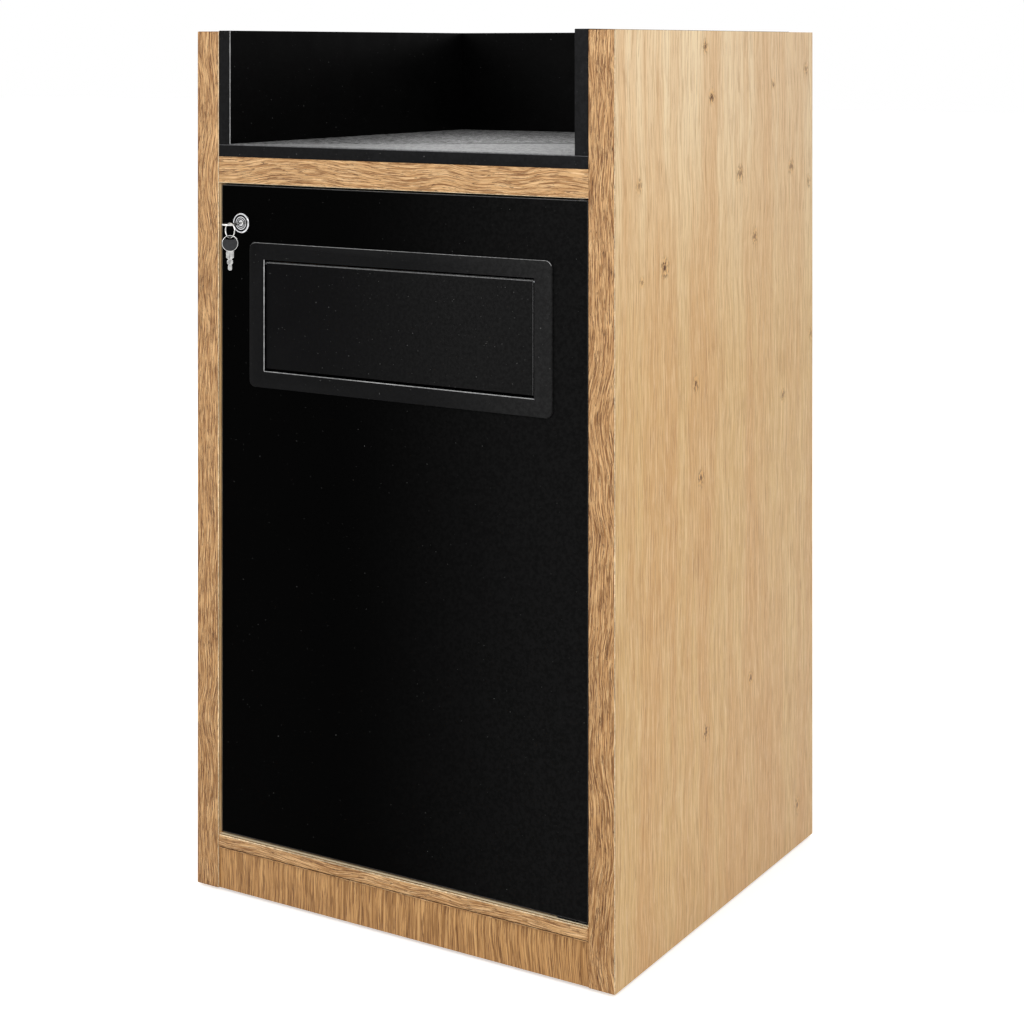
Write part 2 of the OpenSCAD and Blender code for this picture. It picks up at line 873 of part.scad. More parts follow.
module lock_nut() {
  color(steel) translate([lock_x, door_back, lock_z]) difference() {
    rotate([-90, 0, 0]) rotate(30) cylinder(d = nut_flats / cos(30), h = nut_t, $fn = 6);
    translate([0, -past, 0]) y_rod(barrel_d, nut_t + 2 * past);
  }
}

module lock_plug() {
  color(steel) translate([lock_x, 0, lock_z]) difference() {
    union() {
      translate([0, door_y - lock_face_t, 0]) y_rod(plug_d, cam_y - door_y + lock_face_t);
      translate([0, cam_y + cam_t / 2 - past / 2, 0])
        cube([cam_square, cam_t + past, cam_square], center = true);
    }
    translate([-keyway_w / 2, door_y - lock_face_t - past, -keyway_t / 2])
      cube([keyway_w, keyway_deep + lock_face_t + past, keyway_t]);
    translate([0, cam_y + cam_t - cam_screw_len, 0])
      y_rod(cam_screw_d, cam_screw_len + past);
  }
}

// At rest the cam points down, clear of the strike
module lock_cam() {
  color(steel) upright(cam_y, cam_y + cam_t) translate([lock_x, lock_z]) difference() {
    union() {
      circle(cam_r);
      translate([-cam_tip_r, -cam_reach + cam_tip_r])
        square([2 * cam_tip_r, cam_reach - cam_tip_r]);
      translate([0, -cam_reach + cam_tip_r]) circle(cam_tip_r);
    }
    square(cam_square, center = true);
  }
}

module cam_screw() {
  color(steel) translate([lock_x, cam_y + cam_t, lock_z]) {
    translate([0, -cam_screw_len, 0]) y_rod(cam_screw_d, cam_screw_len);
    y_rod(cam_screw_head_d, screw_head_h);
  }
}

// A key lies flat about its head, with its blade towards +Y
module key_blade_shape() {
  edge = key_head_d / 2;
  halves = [
    [tang_w / 2, tang_from], [tang_w / 2, edge - 0.4], [4.7, edge], [4.7, edge + 7.5],
    [1.8, edge + 10], [3.6, edge + 11.5], [3.6, edge + 14.5], [1.7, edge + 16.5],
    [2.5, edge + 18], [2.5, edge + 21.5], [1.2, edge + 23.5]
  ];
  linear_extrude(key_blade_t, center = true) polygon(concat(
    halves,
    [for (i = [len(halves) - 1 : -1 : 0]) [-halves[i][0], halves[i][1]]]
  ));
}

module key_head_shape() {
  difference() {
    cylinder(d = key_head_d, h = key_head_t, center = true);
    translate([0, -slot_at, 0]) linear_extrude(key_head_t + 2 * past, center = true)
      round_rect(slot_w, slot_h, slot_h / 2 - 0.01);
    key_blade_shape();
  }
}

module at_key() {
  translate([lock_x, door_y - key_out, lock_z]) children();
}

module at_ring() {
  translate([lock_x + ring_side, door_y - ring_out, lock_z - ring_drop]) children();
}

module at_spare() {
  translate([lock_x + ring_side, door_y - ring_out, lock_z - spare_drop])
    rotate([0, 0, spare_turn]) rotate([-90, 0, 0]) children();
}

module key_blade() {
  color(steel) at_key() key_blade_shape();
}

module key_head() {
  color(black_plastic) at_key() key_head_shape();
}

module key_ring() {
  color(steel) at_ring() rotate([0, 0, ring_turn]) rotate([90, 0, 0])
    rotate_extrude() translate([ring_r, 0]) circle(d = ring_wire_d);
}

module spare_key_blade() {
  color(steel) at_spare() key_blade_shape();
}

module spare_key_head() {
  color(black_plastic) at_spare() key_head_shape();
}

// A tapered block with round corners, from base size to top size
module tapered(base_w, base_d, top_w, top_d, h) {
  slab = 0.2;
  hull($fn = 32) {
    linear_extrude(slab) round_rect(base_w, base_d, bin_corner_r);
    translate([0, 0, h - slab]) linear_extrude(slab) round_rect(top_w, top_d, bin_corner_r);
  }
}

module waste_bin() {
  two = 2 * bin_wall;
  color("dimgray") translate([0, bin_y, floor_top]) {
    difference() {
      tapered(bin_base_w, bin_base_d, bin_top_w, bin_top_d, bin_h);
      translate([0, 0, bin_wall])
        tapered(bin_base_w - two, bin_base_d - two, bin_top_w - two, bin_top_d - two, bin_h);
    }
    translate([0, 0, bin_h - bin_wall]) linear_extrude(bin_wall) difference() {
      round_rect(bin_w, bin_d, bin_corner_r);
      round_rect(bin_top_w - 1, bin_top_d - 1, bin_corner_r);
    }
    translate([0, 0, bin_h - bin_lip_h]) linear_extrude(bin_lip_h) difference() {
      round_rect(bin_w, bin_d, bin_corner_r);
      round_rect(bin_w - two, bin_d - two, bin_corner_r);
    }
  }
}

left_side_panel();
right_side_panel();
left_front_edging();
right_front_edging();
top_panel();
top_rail_edging();
tray_shelf();
tray_surface();
left_tray_liner();
right_tray_liner();
back_panel();
back_panel_screws();
floor_panel();
floor_panel_edging();
kick_board();
rear_kick_board();
glue_blocks();
floor_glides();
bin_cleats();
door_stop_rail();
door_bumpers();
strike_bracket();
strike_screws();
top_pivot_plate();
bottom_pivot_plate();
pivot_plate_screws();
panel_dowels();
cam_housings();
cam_bolts();
door_panel();
door_edging();
pivot_bushes();
flap_bezel();
bezel_retainer();
retainer_screws();
flap();
flap_pins();
lock_body();
lock_nut();
lock_plug();
lock_cam();
cam_screw();
key_blade();
key_head();
key_ring();
spare_key_blade();
spare_key_head();
waste_bin();
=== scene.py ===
# %% [markdown]
# # A tray top trash cabinet
# The cabinet is a box of oak-faced boards with a black door, a push flap, a lock with two keys
# and a tray shelf on top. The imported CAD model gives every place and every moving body, and this
# lesson dresses it: most boards are modelled again with soft edges, and every surface gets a
# procedural material.

import math

import bpy
from mathutils import Matrix, Vector


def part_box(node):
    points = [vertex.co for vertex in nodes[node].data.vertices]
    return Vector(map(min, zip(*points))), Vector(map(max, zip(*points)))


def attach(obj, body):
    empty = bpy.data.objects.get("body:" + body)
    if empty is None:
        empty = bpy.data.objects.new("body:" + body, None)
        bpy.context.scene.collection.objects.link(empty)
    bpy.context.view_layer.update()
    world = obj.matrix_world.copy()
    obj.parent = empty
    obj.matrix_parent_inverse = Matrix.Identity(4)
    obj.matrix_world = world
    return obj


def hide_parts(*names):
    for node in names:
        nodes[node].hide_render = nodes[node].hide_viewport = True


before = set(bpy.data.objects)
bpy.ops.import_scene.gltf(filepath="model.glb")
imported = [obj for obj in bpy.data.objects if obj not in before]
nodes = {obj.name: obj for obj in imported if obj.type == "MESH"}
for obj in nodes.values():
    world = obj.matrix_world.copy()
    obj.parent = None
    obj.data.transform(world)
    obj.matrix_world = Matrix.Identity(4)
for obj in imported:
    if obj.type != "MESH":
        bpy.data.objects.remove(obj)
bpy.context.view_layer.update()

# %% [markdown]
# ## The camera
# The photograph was taken from the front right, a little above the top of the cabinet, with a
# long lens that was held level. A level camera keeps all uprights upright. The lens is shifted
# down to bring the whole cabinet into the picture.

# %% Camera
camera_data = bpy.data.cameras.new("photo_camera")
camera_data.sensor_width = 36
camera_data.lens = 72.53
camera_data.shift_y = -0.4538
camera_data.clip_end = 200
camera = bpy.data.objects.new("photo_camera", camera_data)
camera.location = (1.399, -2.282, 1.059)
camera.rotation_euler = (math.radians(90), 0, math.radians(31.39))
bpy.context.scene.collection.objects.link(camera)
bpy.context.scene.camera = camera
bpy.context.scene.view_settings.view_transform = "Standard"
print("camera at", tuple(camera.location))

# %% [markdown]
# ## Helpers for nodes
# A material is a small network of nodes. These helpers add one node each and return its output,
# so that a material can be written like a sum. Colours are given as they look on a screen, from
# 0 to 255, and `screen` turns them into the linear values that Blender uses.

# %% Node helpers
def screen(red, green, blue):
    def linear(value):
        value /= 255
        return value / 12.92 if value <= 0.04045 else ((value + 0.055) / 1.055) ** 2.4
    return (linear(red), linear(green), linear(blue), 1)


def feed(tree, socket, value):
    if isinstance(value, bpy.types.NodeSocket):
        tree.links.new(value, socket)
    else:
        socket.default_value = value


def sum_of(tree, operation, first, second=0.0):
    step = tree.nodes.new("ShaderNodeMath")
    step.operation = operation
    feed(tree, step.inputs[0], first)
    feed(tree, step.inputs[1], second)
    return step.outputs[0]


def spread(tree, scale=(1, 1, 1), shift=(0, 0, 0)):
    coords = tree.nodes.new("ShaderNodeTexCoord")
    mapping = tree.nodes.new("ShaderNodeMapping")
    mapping.inputs["Scale"].default_value = scale
    mapping.inputs["Location"].default_value = shift
    tree.links.new(coords.outputs["Object"], mapping.inputs["Vector"])
    return mapping.outputs[0]


def clouds(tree, place, scale, detail=2.0, roughness=0.5):
    step = tree.nodes.new("ShaderNodeTexNoise")
    tree.links.new(place, step.inputs["Vector"])
    step.inputs["Scale"].default_value = scale
    step.inputs["Detail"].default_value = detail
    step.inputs["Roughness"].default_value = roughness
    return step.outputs[0]


def between(tree, value, low, high, to_low=0.0, to_high=1.0):
    step = tree.nodes.new("ShaderNodeMapRange")
    step.interpolation_type = "SMOOTHSTEP"
    feed(tree, step.inputs["Value"], value)
    step.inputs["From Min"].default_value = low
    step.inputs["From Max"].default_value = high
    step.inputs["To Min"].default_value = to_low
    step.inputs["To Max"].default_value = to_high
    return step.outputs[0]


def blend_colours(tree, factor, first, second):
    step = tree.nodes.new("ShaderNodeMix")
    step.data_type = "RGBA"
    feed(tree, step.inputs[0], factor)
    feed(tree, step.inputs[6], first)
    feed(tree, step.inputs[7], second)
    return step.outputs[2]


def relief(tree, shader, height, depth):
    step = tree.nodes.new("ShaderNodeBump")
    step.inputs["Distance"].default_value = depth
    feed(tree, step.inputs["Height"], height)
    tree.links.new(step.outputs[0], shader.inputs["Normal"])


def new_finish(name, roughness, specular=0.5, metallic=0.0):
    finish = bpy.data.materials.new(name)
    finish.use_nodes = True
    shader = finish.node_tree.nodes["Principled BSDF"]
    shader.inputs["Roughness"].default_value = roughness
    shader.inputs["Specular IOR Level"].default_value = specular
    shader.inputs["Metallic"].default_value = metallic
    return finish, finish.node_tree, shader


# %% [markdown]
# ## Floor, background and light
# The cabinet stands in a white studio. The world is white wherever the camera or a reflection
# looks at it, but it lights the cabinet only softly. The floor gets a little glow of its own for
# the camera, so that it meets the white background and still keeps a soft shadow.

# %% Studio
def seen_directly(tree):
    path = tree.nodes.new("ShaderNodeLightPath")
    seen = sum_of(tree, "MAXIMUM", path.outputs["Is Camera Ray"], path.outputs["Is Glossy Ray"])
    return sum_of(tree, "MAXIMUM", seen, path.outputs["Is Transmission Ray"])


WORLD_LIGHT = 0.62
FLOOR_GLOW = 0.5
FLOOR_LEVEL = -0.0005
world = bpy.data.worlds.new("studio")
world.use_nodes = True
bpy.context.scene.world = world
sky = world.node_tree.nodes["Background"]
sky.inputs["Color"].default_value = (1, 1, 1, 1)
strength = between(world.node_tree, seen_directly(world.node_tree), 0, 1, WORLD_LIGHT, 1.0)
world.node_tree.links.new(strength, sky.inputs["Strength"])


def soft_lamp(name, place, aim, size, watts):
    lamp_data = bpy.data.lights.new(name, "AREA")
    lamp_data.shape = "SQUARE"
    lamp_data.size = size
    lamp_data.energy = watts
    lamp = bpy.data.objects.new(name, lamp_data)
    lamp.location = place
    turn = Vector(aim) - Vector(place)
    lamp.rotation_euler = turn.to_track_quat("-Z", "Y").to_euler()
    bpy.context.scene.collection.objects.link(lamp)
    return lamp


soft_lamp("key_lamp", (2.6, -1.6, 2.6), (0, 0, 0.6), 2.0, 42)
soft_lamp("front_lamp", (-1.2, -3.6, 1.9), (0, 0, 0.5), 2.0, 34)
soft_lamp("rear_lamp", (-1.5, 3.0, 2.6), (0, 0, 0.6), 2.0, 30)

floor_finish, tree, shader = new_finish("studio_floor", 0.9, 0.1)
shader.inputs["Base Color"].default_value = (0.86, 0.86, 0.86, 1)
shader.inputs["Emission Color"].default_value = (1, 1, 1, 1)
glow = between(tree, seen_directly(tree), 0, 1, 0.0, FLOOR_GLOW)
tree.links.new(glow, shader.inputs["Emission Strength"])
bpy.ops.object.select_all(action="DESELECT")
bpy.ops.mesh.primitive_plane_add(size=60, location=(0, 0, FLOOR_LEVEL))
floor = bpy.context.object
floor.name = "studio_floor"
floor.data.materials.append(floor_finish)
print("world light", WORLD_LIGHT, "lamps", len(bpy.data.lights))

# %% [markdown]
# ## Oak
# The side faces are a light oak laminate with an upright grain. The strips on the front edges are
# a browner oak with dense fine streaks and dark flecks. Grain is noise that is stretched a long
# way in one direction, and oak needs several kinds of it: wide soft bands, crisp thin lines, pale
# fibres and short dark pores. So a wood here is a base colour with a list of layers, and each
# layer names its size, its stretch, how sharp it is, how strong it is, and its own tint. The
# places are read in Object coordinates, so the grain is cut through the boards and never smears
# round an edge. They sway a little to one side within the face, as a tree's grain does, and never
# into the board's depth, which would turn the streaks into blots. Oak is also painted paler
# towards the top, as painted light where more light falls on it.

# %% Grain
DRIFT_SCALE, SLOW = 9, 0.3
TOP_LIGHT_FULL = 1.1
SHIFT_STEP = (1.7, 0.9, 2.3)
# The pale oak of painted light and of painted highlights on oak edges.
LIT_OAK = (255, 234, 196)


def parts_of(tree, place):
    axes = tree.nodes.new("ShaderNodeSeparateXYZ")
    tree.links.new(place, axes.inputs[0])
    return axes.outputs


def wandering(tree, along, sway, wander):
    """Object coordinates that wander along the axis `sway` on the way along the grain."""
    coords = tree.nodes.new("ShaderNodeTexCoord").outputs["Object"]
    slow = [SLOW, SLOW, SLOW]
    slow[along] = 1
    drift = tree.nodes.new("ShaderNodeTexNoise")
    drift.inputs["Scale"].default_value = DRIFT_SCALE
    drift.inputs["Detail"].default_value = 1
    tree.links.new(spread(tree, slow), drift.inputs["Vector"])
    across = [0, 0, 0]
    across[sway] = wander
    bend = tree.nodes.new("ShaderNodeVectorMath")
    bend.operation = "MULTIPLY_ADD"
    bend.inputs[1].default_value = across
    tree.links.new(drift.outputs["Color"], bend.inputs[0])
    tree.links.new(coords, bend.inputs[2])
    return bend.outputs[0]


def squeezed(tree, place, along, squeeze, shift):
    mapping = tree.nodes.new("ShaderNodeMapping")
    scale = [1.0, 1.0, 1.0]
    scale[along] = squeeze
    mapping.inputs["Scale"].default_value = scale
    mapping.inputs["Location"].default_value = shift
    tree.links.new(place, mapping.inputs["Vector"])
    return mapping.outputs[0]


def wood(name, along, sway, base, layers, shift, wander, knots=(), top_light=None, lit_edge_y=None):
    """Each layer: scale, squeeze along the grain, low, high, strength, tint.

    top_light: painted light, paler towards the top: the height where it starts, its strength at
    the top and its tint.
    lit_edge_y: the Y of a front edge; in front of it the board is painted pale oak, as painted
    light.
    """
    finish, tree, shader = new_finish(name, 0.5, 0.3)
    colour = screen(*base)
    heights = 0.0
    place = wandering(tree, along, sway, wander)
    for count, (scale, squeeze, low, high, strength, tint) in enumerate(layers):
        marks = clouds(tree, squeezed(tree, place, along, squeeze, shift), scale, 3, 0.6)
        marks = sum_of(tree, "MULTIPLY", between(tree, marks, low, high), strength)
        colour = blend_colours(tree, marks, colour, screen(*tint))
        shift = tuple(old + step for old, step in zip(shift, SHIFT_STEP))
        heights = sum_of(tree, "SUBTRACT", heights, marks)
        # Painted light: the oak grows paler towards the top, where more light falls on it.
        if top_light and count == 1:
            start, most, pale = top_light
            upper = between(tree, parts_of(tree, place)["Z"], start, TOP_LIGHT_FULL, 0.0, most)
            colour = blend_colours(tree, upper, colour, screen(*pale))
    bits = clouds(tree, spread(tree, (1, 1, 0.35)), 420, 2) if knots else 0.0
    for knot in knots:
        colour = with_knot(tree, colour, bits, *knot)
    # Painted light: in front of the given edge the board is pale oak, where light reaches into the
    # gap under the door.
    if lit_edge_y:
        depth = parts_of(tree, spread(tree))["Y"]
        lit_strip = between(tree, depth, lit_edge_y, lit_edge_y + 0.001, 1.0, 0.0)
        colour = blend_colours(tree, lit_strip, colour, screen(*LIT_OAK))
    tree.links.new(colour, shader.inputs["Base Color"])
    relief(tree, shader, heights, 0.00012)
    return finish


def with_knot(tree, colour, bits, y, z, size, depth):
    """A small oval knot on a side face: a ragged dark core with flecks in a warmer halo."""
    flat = spread(tree, (0, 1 / size, 0.8 / size), (0, -y / size, -0.8 * z / size))
    reach = tree.nodes.new("ShaderNodeVectorMath")
    reach.operation = "LENGTH"
    tree.links.new(flat, reach.inputs[0])
    reach = sum_of(tree, "ADD", reach.outputs["Value"], sum_of(tree, "MULTIPLY", bits, 2.4))
    halo = between(tree, reach, 1.6, 3.8, depth * 0.5, 0.0)
    core = between(tree, reach, 1.5, 2.0, depth, 0.0)
    flecks = sum_of(tree, "MULTIPLY", between(tree, bits, 0.53, 0.58),
                    between(tree, reach, 2.4, 4.4, depth, 0.0))
    colour = blend_colours(tree, halo, colour, screen(230, 178, 108))
    dark = sum_of(tree, "MAXIMUM", core, flecks)
    return blend_colours(tree, dark, colour, screen(88, 46, 4))


UP, ACROSS, DEEP = 2, 0, 1
side_knots = [
    (-0.139, 0.802, 0.0050, 1.0), (-0.196, 0.791, 0.003, 0.7), (0.110, 0.820, 0.0045, 0.7),
    (0.066, 0.901, 0.0050, 0.7), (0.223, 0.903, 0.0045, 0.7), (0.166, 1.012, 0.003, 0.7),
    (-0.014, 0.999, 0.0040, 1.0), (-0.203, 0.901, 0.004, 0.6), (-0.058, 0.656, 0.004, 0.9),
    (0.197, 0.606, 0.004, 0.7), (-0.044, 0.541, 0.0045, 0.9), (0.289, 0.676, 0.004, 0.6),
    (0.098, 0.264, 0.004, 0.8), (-0.030, 0.231, 0.004, 0.8), (0.243, 0.057, 0.0045, 0.7),
    (-0.032, 1.060, 0.0038, 0.9), (0.272, 1.030, 0.004, 0.6), (0.280, 0.880, 0.004, 0.5),
]
# The last tuple of the side, front and rail oaks is their painted top light.
oak_side = wood("oak_side_laminate", UP, DEEP, (220, 184, 128), (
    (400, 0.02, 0.48, 0.58, 0.34, (176, 126, 72)),
    (100, 0.03, 0.52, 0.60, 0.22, (226, 196, 150)),
    (14, 0.07, 0.42, 0.58, 0.36, (205, 153, 98)),
    (34, 0.05, 0.46, 0.60, 0.30, (203, 152, 98)),
    (240, 0.035, 0.50, 0.58, 0.30, (184, 134, 80)),
    (480, 0.02, 0.54, 0.60, 0.55, (242, 210, 162)),
    (640, 0.03, 0.54, 0.60, 0.42, (152, 100, 50)),
    (760, 0.04, 0.57, 0.63, 0.45, (246, 216, 172))), (0.3, 0.1, 0.2), 0.02, side_knots,
    (0.62, 0.84, (248, 226, 188)))
oak_front = wood("oak_front_edging", UP, ACROSS, (198, 150, 96), (
    (60, 0.06, 0.42, 0.60, 0.12, (172, 124, 74)),
    (300, 0.03, 0.46, 0.56, 0.20, (214, 168, 116)),
    (760, 0.03, 0.48, 0.54, 0.74, (134, 86, 38)),
    (860, 0.03, 0.53, 0.58, 0.80, (243, 200, 145)),
    (1000, 0.05, 0.54, 0.59, 0.78, (100, 56, 18)),
    (800, 0.12, 0.63, 0.67, 0.80, (60, 30, 10))), (1.3, 2.1, 0.4), 0.040, (),
    (-0.1, 0.42, (226, 180, 130)))
oak_rail = wood("oak_cross_edging", ACROSS, UP, (211, 165, 111), (
    (60, 0.06, 0.42, 0.60, 0.12, (188, 140, 88)),
    (300, 0.025, 0.46, 0.56, 0.20, (224, 180, 128)),
    (760, 0.025, 0.48, 0.54, 0.68, (146, 96, 46)),
    (860, 0.025, 0.53, 0.58, 0.80, (248, 207, 155)),
    (1000, 0.045, 0.54, 0.59, 0.72, (112, 66, 26)),
    (800, 0.12, 0.63, 0.67, 0.80, (70, 38, 14))), (0.7, 1.1, 3.4), 0.032, (),
    (-0.1, 0.30, (232, 186, 134)))
oak_kick = wood("oak_kick_board", UP, ACROSS, (196, 148, 93), (
    (24, 0.20, 0.40, 0.60, 0.45, (176, 128, 74)),
    (130, 0.02, 0.46, 0.56, 0.22, (208, 162, 108)),
    (480, 0.03, 0.47, 0.55, 0.64, (134, 90, 42)),
    (600, 0.03, 0.53, 0.59, 0.58, (228, 180, 120)),
    (680, 0.04, 0.54, 0.60, 0.75, (104, 62, 26))), (2.2, 0.3, 1.6), 0.022)
# The inside oak is painted pale in front of the door line: painted light in the gap under the
# door.
oak_inside = wood("oak_board_laminate", ACROSS, DEEP, (218, 182, 134), (
    (34, 0.03, 0.40, 0.62, 0.70, (198, 154, 104)),
    (120, 0.015, 0.52, 0.60, 0.40, (188, 142, 92)),
    (300, 0.03, 0.54, 0.66, 0.45, (232, 200, 154))), (2.9, 1.9, 0.6), 0.012,
    lit_edge_y=-0.2545)
beech = wood("beech_wood", ACROSS, UP, (226, 190, 150), (
    (50, 0.05, 0.40, 0.62, 0.50, (206, 166, 122)),
    (420, 0.10, 0.54, 0.64, 0.50, (164, 116, 78))), (0.2, 0.9, 2.6), 0.01)
print("oak finishes with", len(side_knots), "knots")

# %% [markdown]
# ## Black boards, plastics and the tray laminate
# The door and the liners are black melamine board: nearly black, with a faint pearl texture that
# breaks up the reflections. The bezel and flap are black moulded plastic with a fine grain. In the
# photograph these surfaces mirror the studio faintly and grow lighter towards the right, so the
# finishes that face the front do that too, by place. The tray surface is a grey laminate with
# small light and dark speckles.

# %% Black finishes
def speckled(name, tone, dust, roughness, specular, grain, depth, painted_reflection=None):
    """painted_reflection: low X, high X and the tone that the finish fades to on the way between
    them, a painted reflection of the studio.
    """
    finish, tree, shader = new_finish(name, roughness, specular)
    place = spread(tree)
    cloud = between(tree, clouds(tree, place, 7, 3), 0.3, 0.7)
    base = blend_colours(tree, cloud, screen(*[c * 0.75 for c in tone]), screen(*tone))
    # Painted reflection: the finish grows lighter towards the right.
    if painted_reflection:
        low, high, pale = painted_reflection
        fade = between(tree, parts_of(tree, place)["X"], low, high)
        base = blend_colours(tree, fade, base, screen(*pale))
    mottle = between(tree, clouds(tree, place, 240, 3, 0.7), 0.35, 0.65, 0.72, 1.28)
    scaled = tree.nodes.new("ShaderNodeVectorMath")
    scaled.operation = "SCALE"
    feed(tree, scaled.inputs[0], base)
    tree.links.new(mottle, scaled.inputs["Scale"])
    specks = between(tree, clouds(tree, place, 420, 1, 0.4), 0.76, 0.84)
    colour = blend_colours(tree, sum_of(tree, "MULTIPLY", specks, dust), scaled.outputs[0],
                           screen(130, 130, 128))
    tree.links.new(colour, shader.inputs["Base Color"])
    sheen = between(tree, clouds(tree, place, 30, 3), 0.3, 0.7, roughness - 0.06,
                    roughness + 0.06)
    tree.links.new(sheen, shader.inputs["Roughness"])
    relief(tree, shader, clouds(tree, place, grain, 2, 0.6), depth)
    return finish


# The door and the front banding carry a painted reflection, lighter towards the right.
black_board = speckled("black_melamine", (1, 1, 1), 0.6, 0.46, 0.01, 1600, 0.00003,
                       (-0.10, 0.27, (19, 19, 19)))
liner_board = speckled("black_liner_board", (6, 6, 6), 0.6, 0.5, 0.03, 1600, 0.00003)
front_banding = speckled("black_edge_banding", (19, 19, 20), 0.6, 0.5, 0.06, 1600, 0.00003,
                         (0.1, 0.26, (24, 24, 25)))
black_edging = speckled("black_edging", (24, 24, 26), 0.4, 0.38, 0.2, 1200, 0.00003)
# The flap, its frame and the bezel carry a painted reflection, lighter towards the right.
moulded_black = speckled("moulded_black", (4, 4, 5), 0.5, 0.42, 0.03, 2200, 0.00005,
                         (-0.2, 0.16, (23, 23, 23)))
bezel_black = speckled("moulded_bezel", (9, 9, 10), 0.5, 0.42, 0.06, 2200, 0.00005,
                       (0.0, 0.24, (30, 30, 30)))
small_black = speckled("small_black_plastic", (30, 30, 31), 0.2, 0.5, 0.3, 1800, 0.00004)
rubber = speckled("black_rubber", (26, 26, 26), 0.6, 0.8, 0.2, 900, 0.00006)
bin_plastic = speckled("bin_plastic", (58, 60, 62), 0.3, 0.5, 0.35, 1500, 0.00006)
key_cover = speckled("key_cover", (38, 38, 40), 0.3, 0.42, 0.3, 1400, 0.00003)

# %% [markdown]
# Edges are small faces, and small faces get finishes of their own: a painted highlight, bright or
# grey on black edges and pale on oak edges that face the light, and painted shade, nearly black
# where a gap keeps the light out and dark brown along a seam.

# %% Painted edge highlights and shade
# Painted highlights, for the edges that face the light:
bright_edge_highlight = speckled("bright_painted_highlight", (172, 172, 172), 0.2, 0.4, 0.4, 700, 0.00005)
soft_edge_highlight = speckled("soft_painted_highlight", (112, 112, 112), 0.3, 0.4, 0.4, 700, 0.00005)
grey_edge_highlight = speckled("grey_painted_highlight", (96, 96, 98), 0.3, 0.4, 0.4, 700, 0.00004)
pale_oak_highlight = speckled("pale_oak_painted_highlight", LIT_OAK, 0.1, 0.6, 0.2, 900, 0.00004)
# Painted shade, for gaps and for the seam under the floor board's strip:
gap_shadow = speckled("gap_in_shadow", (1, 1, 1), 0.0, 0.8, 0.0, 900, 0.00002)
seam_shade = speckled("painted_seam_shade", (58, 36, 20), 0.1, 0.7, 0.1, 900, 0.00004)

# %% [markdown]
# A paler zone of painted light runs slantwise over the front of the tray, with a fading dark line
# of painted shadow behind it. The distance from that slanting line is a sum of X and Y, roughened
# by noise.

# %% Tray laminate
BAND_SLOPE, BAND_ROUGH = 0.61, 0.03
tray_grey, tree, shader = new_finish("tray_laminate", 0.55, 0.25)
place = spread(tree)
fine_specks = clouds(tree, spread(tree, (1, 0.3, 1)), 380, 2, 0.8)
wide_specks = clouds(tree, place, 110, 3, 0.7)
mixed = sum_of(tree, "ADD", sum_of(tree, "MULTIPLY", fine_specks, 0.65),
               sum_of(tree, "MULTIPLY", wide_specks, 0.35))
colour = blend_colours(tree, between(tree, mixed, 0.44, 0.56), screen(26, 26, 26),
                       screen(154, 154, 154))
axes = parts_of(tree, place)
band = sum_of(tree, "SUBTRACT", axes["Y"], sum_of(tree, "MULTIPLY", axes["X"], BAND_SLOPE))
band = sum_of(tree, "ADD", band,
              sum_of(tree, "MULTIPLY", clouds(tree, place, 40, 3), BAND_ROUGH))
# Painted shadow: a fading dark line behind the paler zone.
shadow_line = sum_of(tree, "MULTIPLY", between(tree, band, -0.098, -0.090),
                   between(tree, band, -0.066, -0.036, 0.7, 0.0))
shadow_line = sum_of(tree, "MULTIPLY", shadow_line, between(tree, axes["X"], -0.06, 0.02))
colour = blend_colours(tree, shadow_line, colour, screen(34, 34, 34))
# Painted light: the paler zone at the front of the tray.
colour = blend_colours(tree, between(tree, band, -0.112, -0.088, 0.55, 0.0), colour,
                       screen(156, 156, 156))
tree.links.new(colour, shader.inputs["Base Color"])
relief(tree, shader, fine_specks, 0.0001)

# %% [markdown]
# ## Metals
# The hinge plates and screws are zinc plated, with a faint cloudy tone. The lock is polished and
# chromed, and the keys are nickel with fine scratches along the blade.

# %% Metals
def metal(name, bright, dull, roughness, cloud_scale, scratch=(1, 1, 1), depth=0.00001):
    finish, tree, shader = new_finish(name, roughness, 0.5, 1.0)
    cloud = between(tree, clouds(tree, spread(tree), cloud_scale, 3), 0.3, 0.7)
    tree.links.new(blend_colours(tree, cloud, dull, bright), shader.inputs["Base Color"])
    lines = clouds(tree, spread(tree, scratch), 900, 2, 0.6)
    tree.links.new(between(tree, lines, 0.3, 0.7, roughness - 0.05, roughness + 0.08),
                   shader.inputs["Roughness"])
    relief(tree, shader, lines, depth)
    return finish


zinc = metal("zinc_plate", screen(205, 207, 210), screen(168, 170, 174), 0.34, 90)
chrome = metal("chromed_lock", screen(232, 232, 234), screen(196, 197, 200), 0.16, 160)
shaded_chrome = metal("lock_groove_shade", screen(26, 26, 28), screen(8, 8, 9), 0.4, 220)
brushed_nickel = metal("milled_nickel", screen(212, 211, 209), screen(150, 149, 147), 0.4, 140)
nickel = metal("nickel_key", screen(250, 249, 246), screen(222, 221, 218), 0.26, 140,
               (1, 1, 0.08))

# %% [markdown]
# ## Helpers for modelling
# Operators act on whatever is selected, so each helper first clears the selection. `block` adds a
# cube at its size and place, `rod` adds a cylinder between two points, and both write their place
# into the mesh at once. `round_edges` opens edit mode with the wanted edges selected and bevels
# them. `settle` is the last step of every piece: it gives the finish, says which CAD nodes the
# piece stands for, and lets it ride on its body. Chosen faces can be given further finishes
# there, such as a painted highlight on an edge or painted shade in a gap.

# %% Primitives
MM = 0.001


def only(piece):
    bpy.ops.object.select_all(action="DESELECT")
    piece.select_set(True)
    bpy.context.view_layer.objects.active = piece


def fix_place(piece, name):
    piece.name = name
    piece.data.name = name
    bpy.ops.object.transform_apply(location=True, rotation=True, scale=True)
    return piece


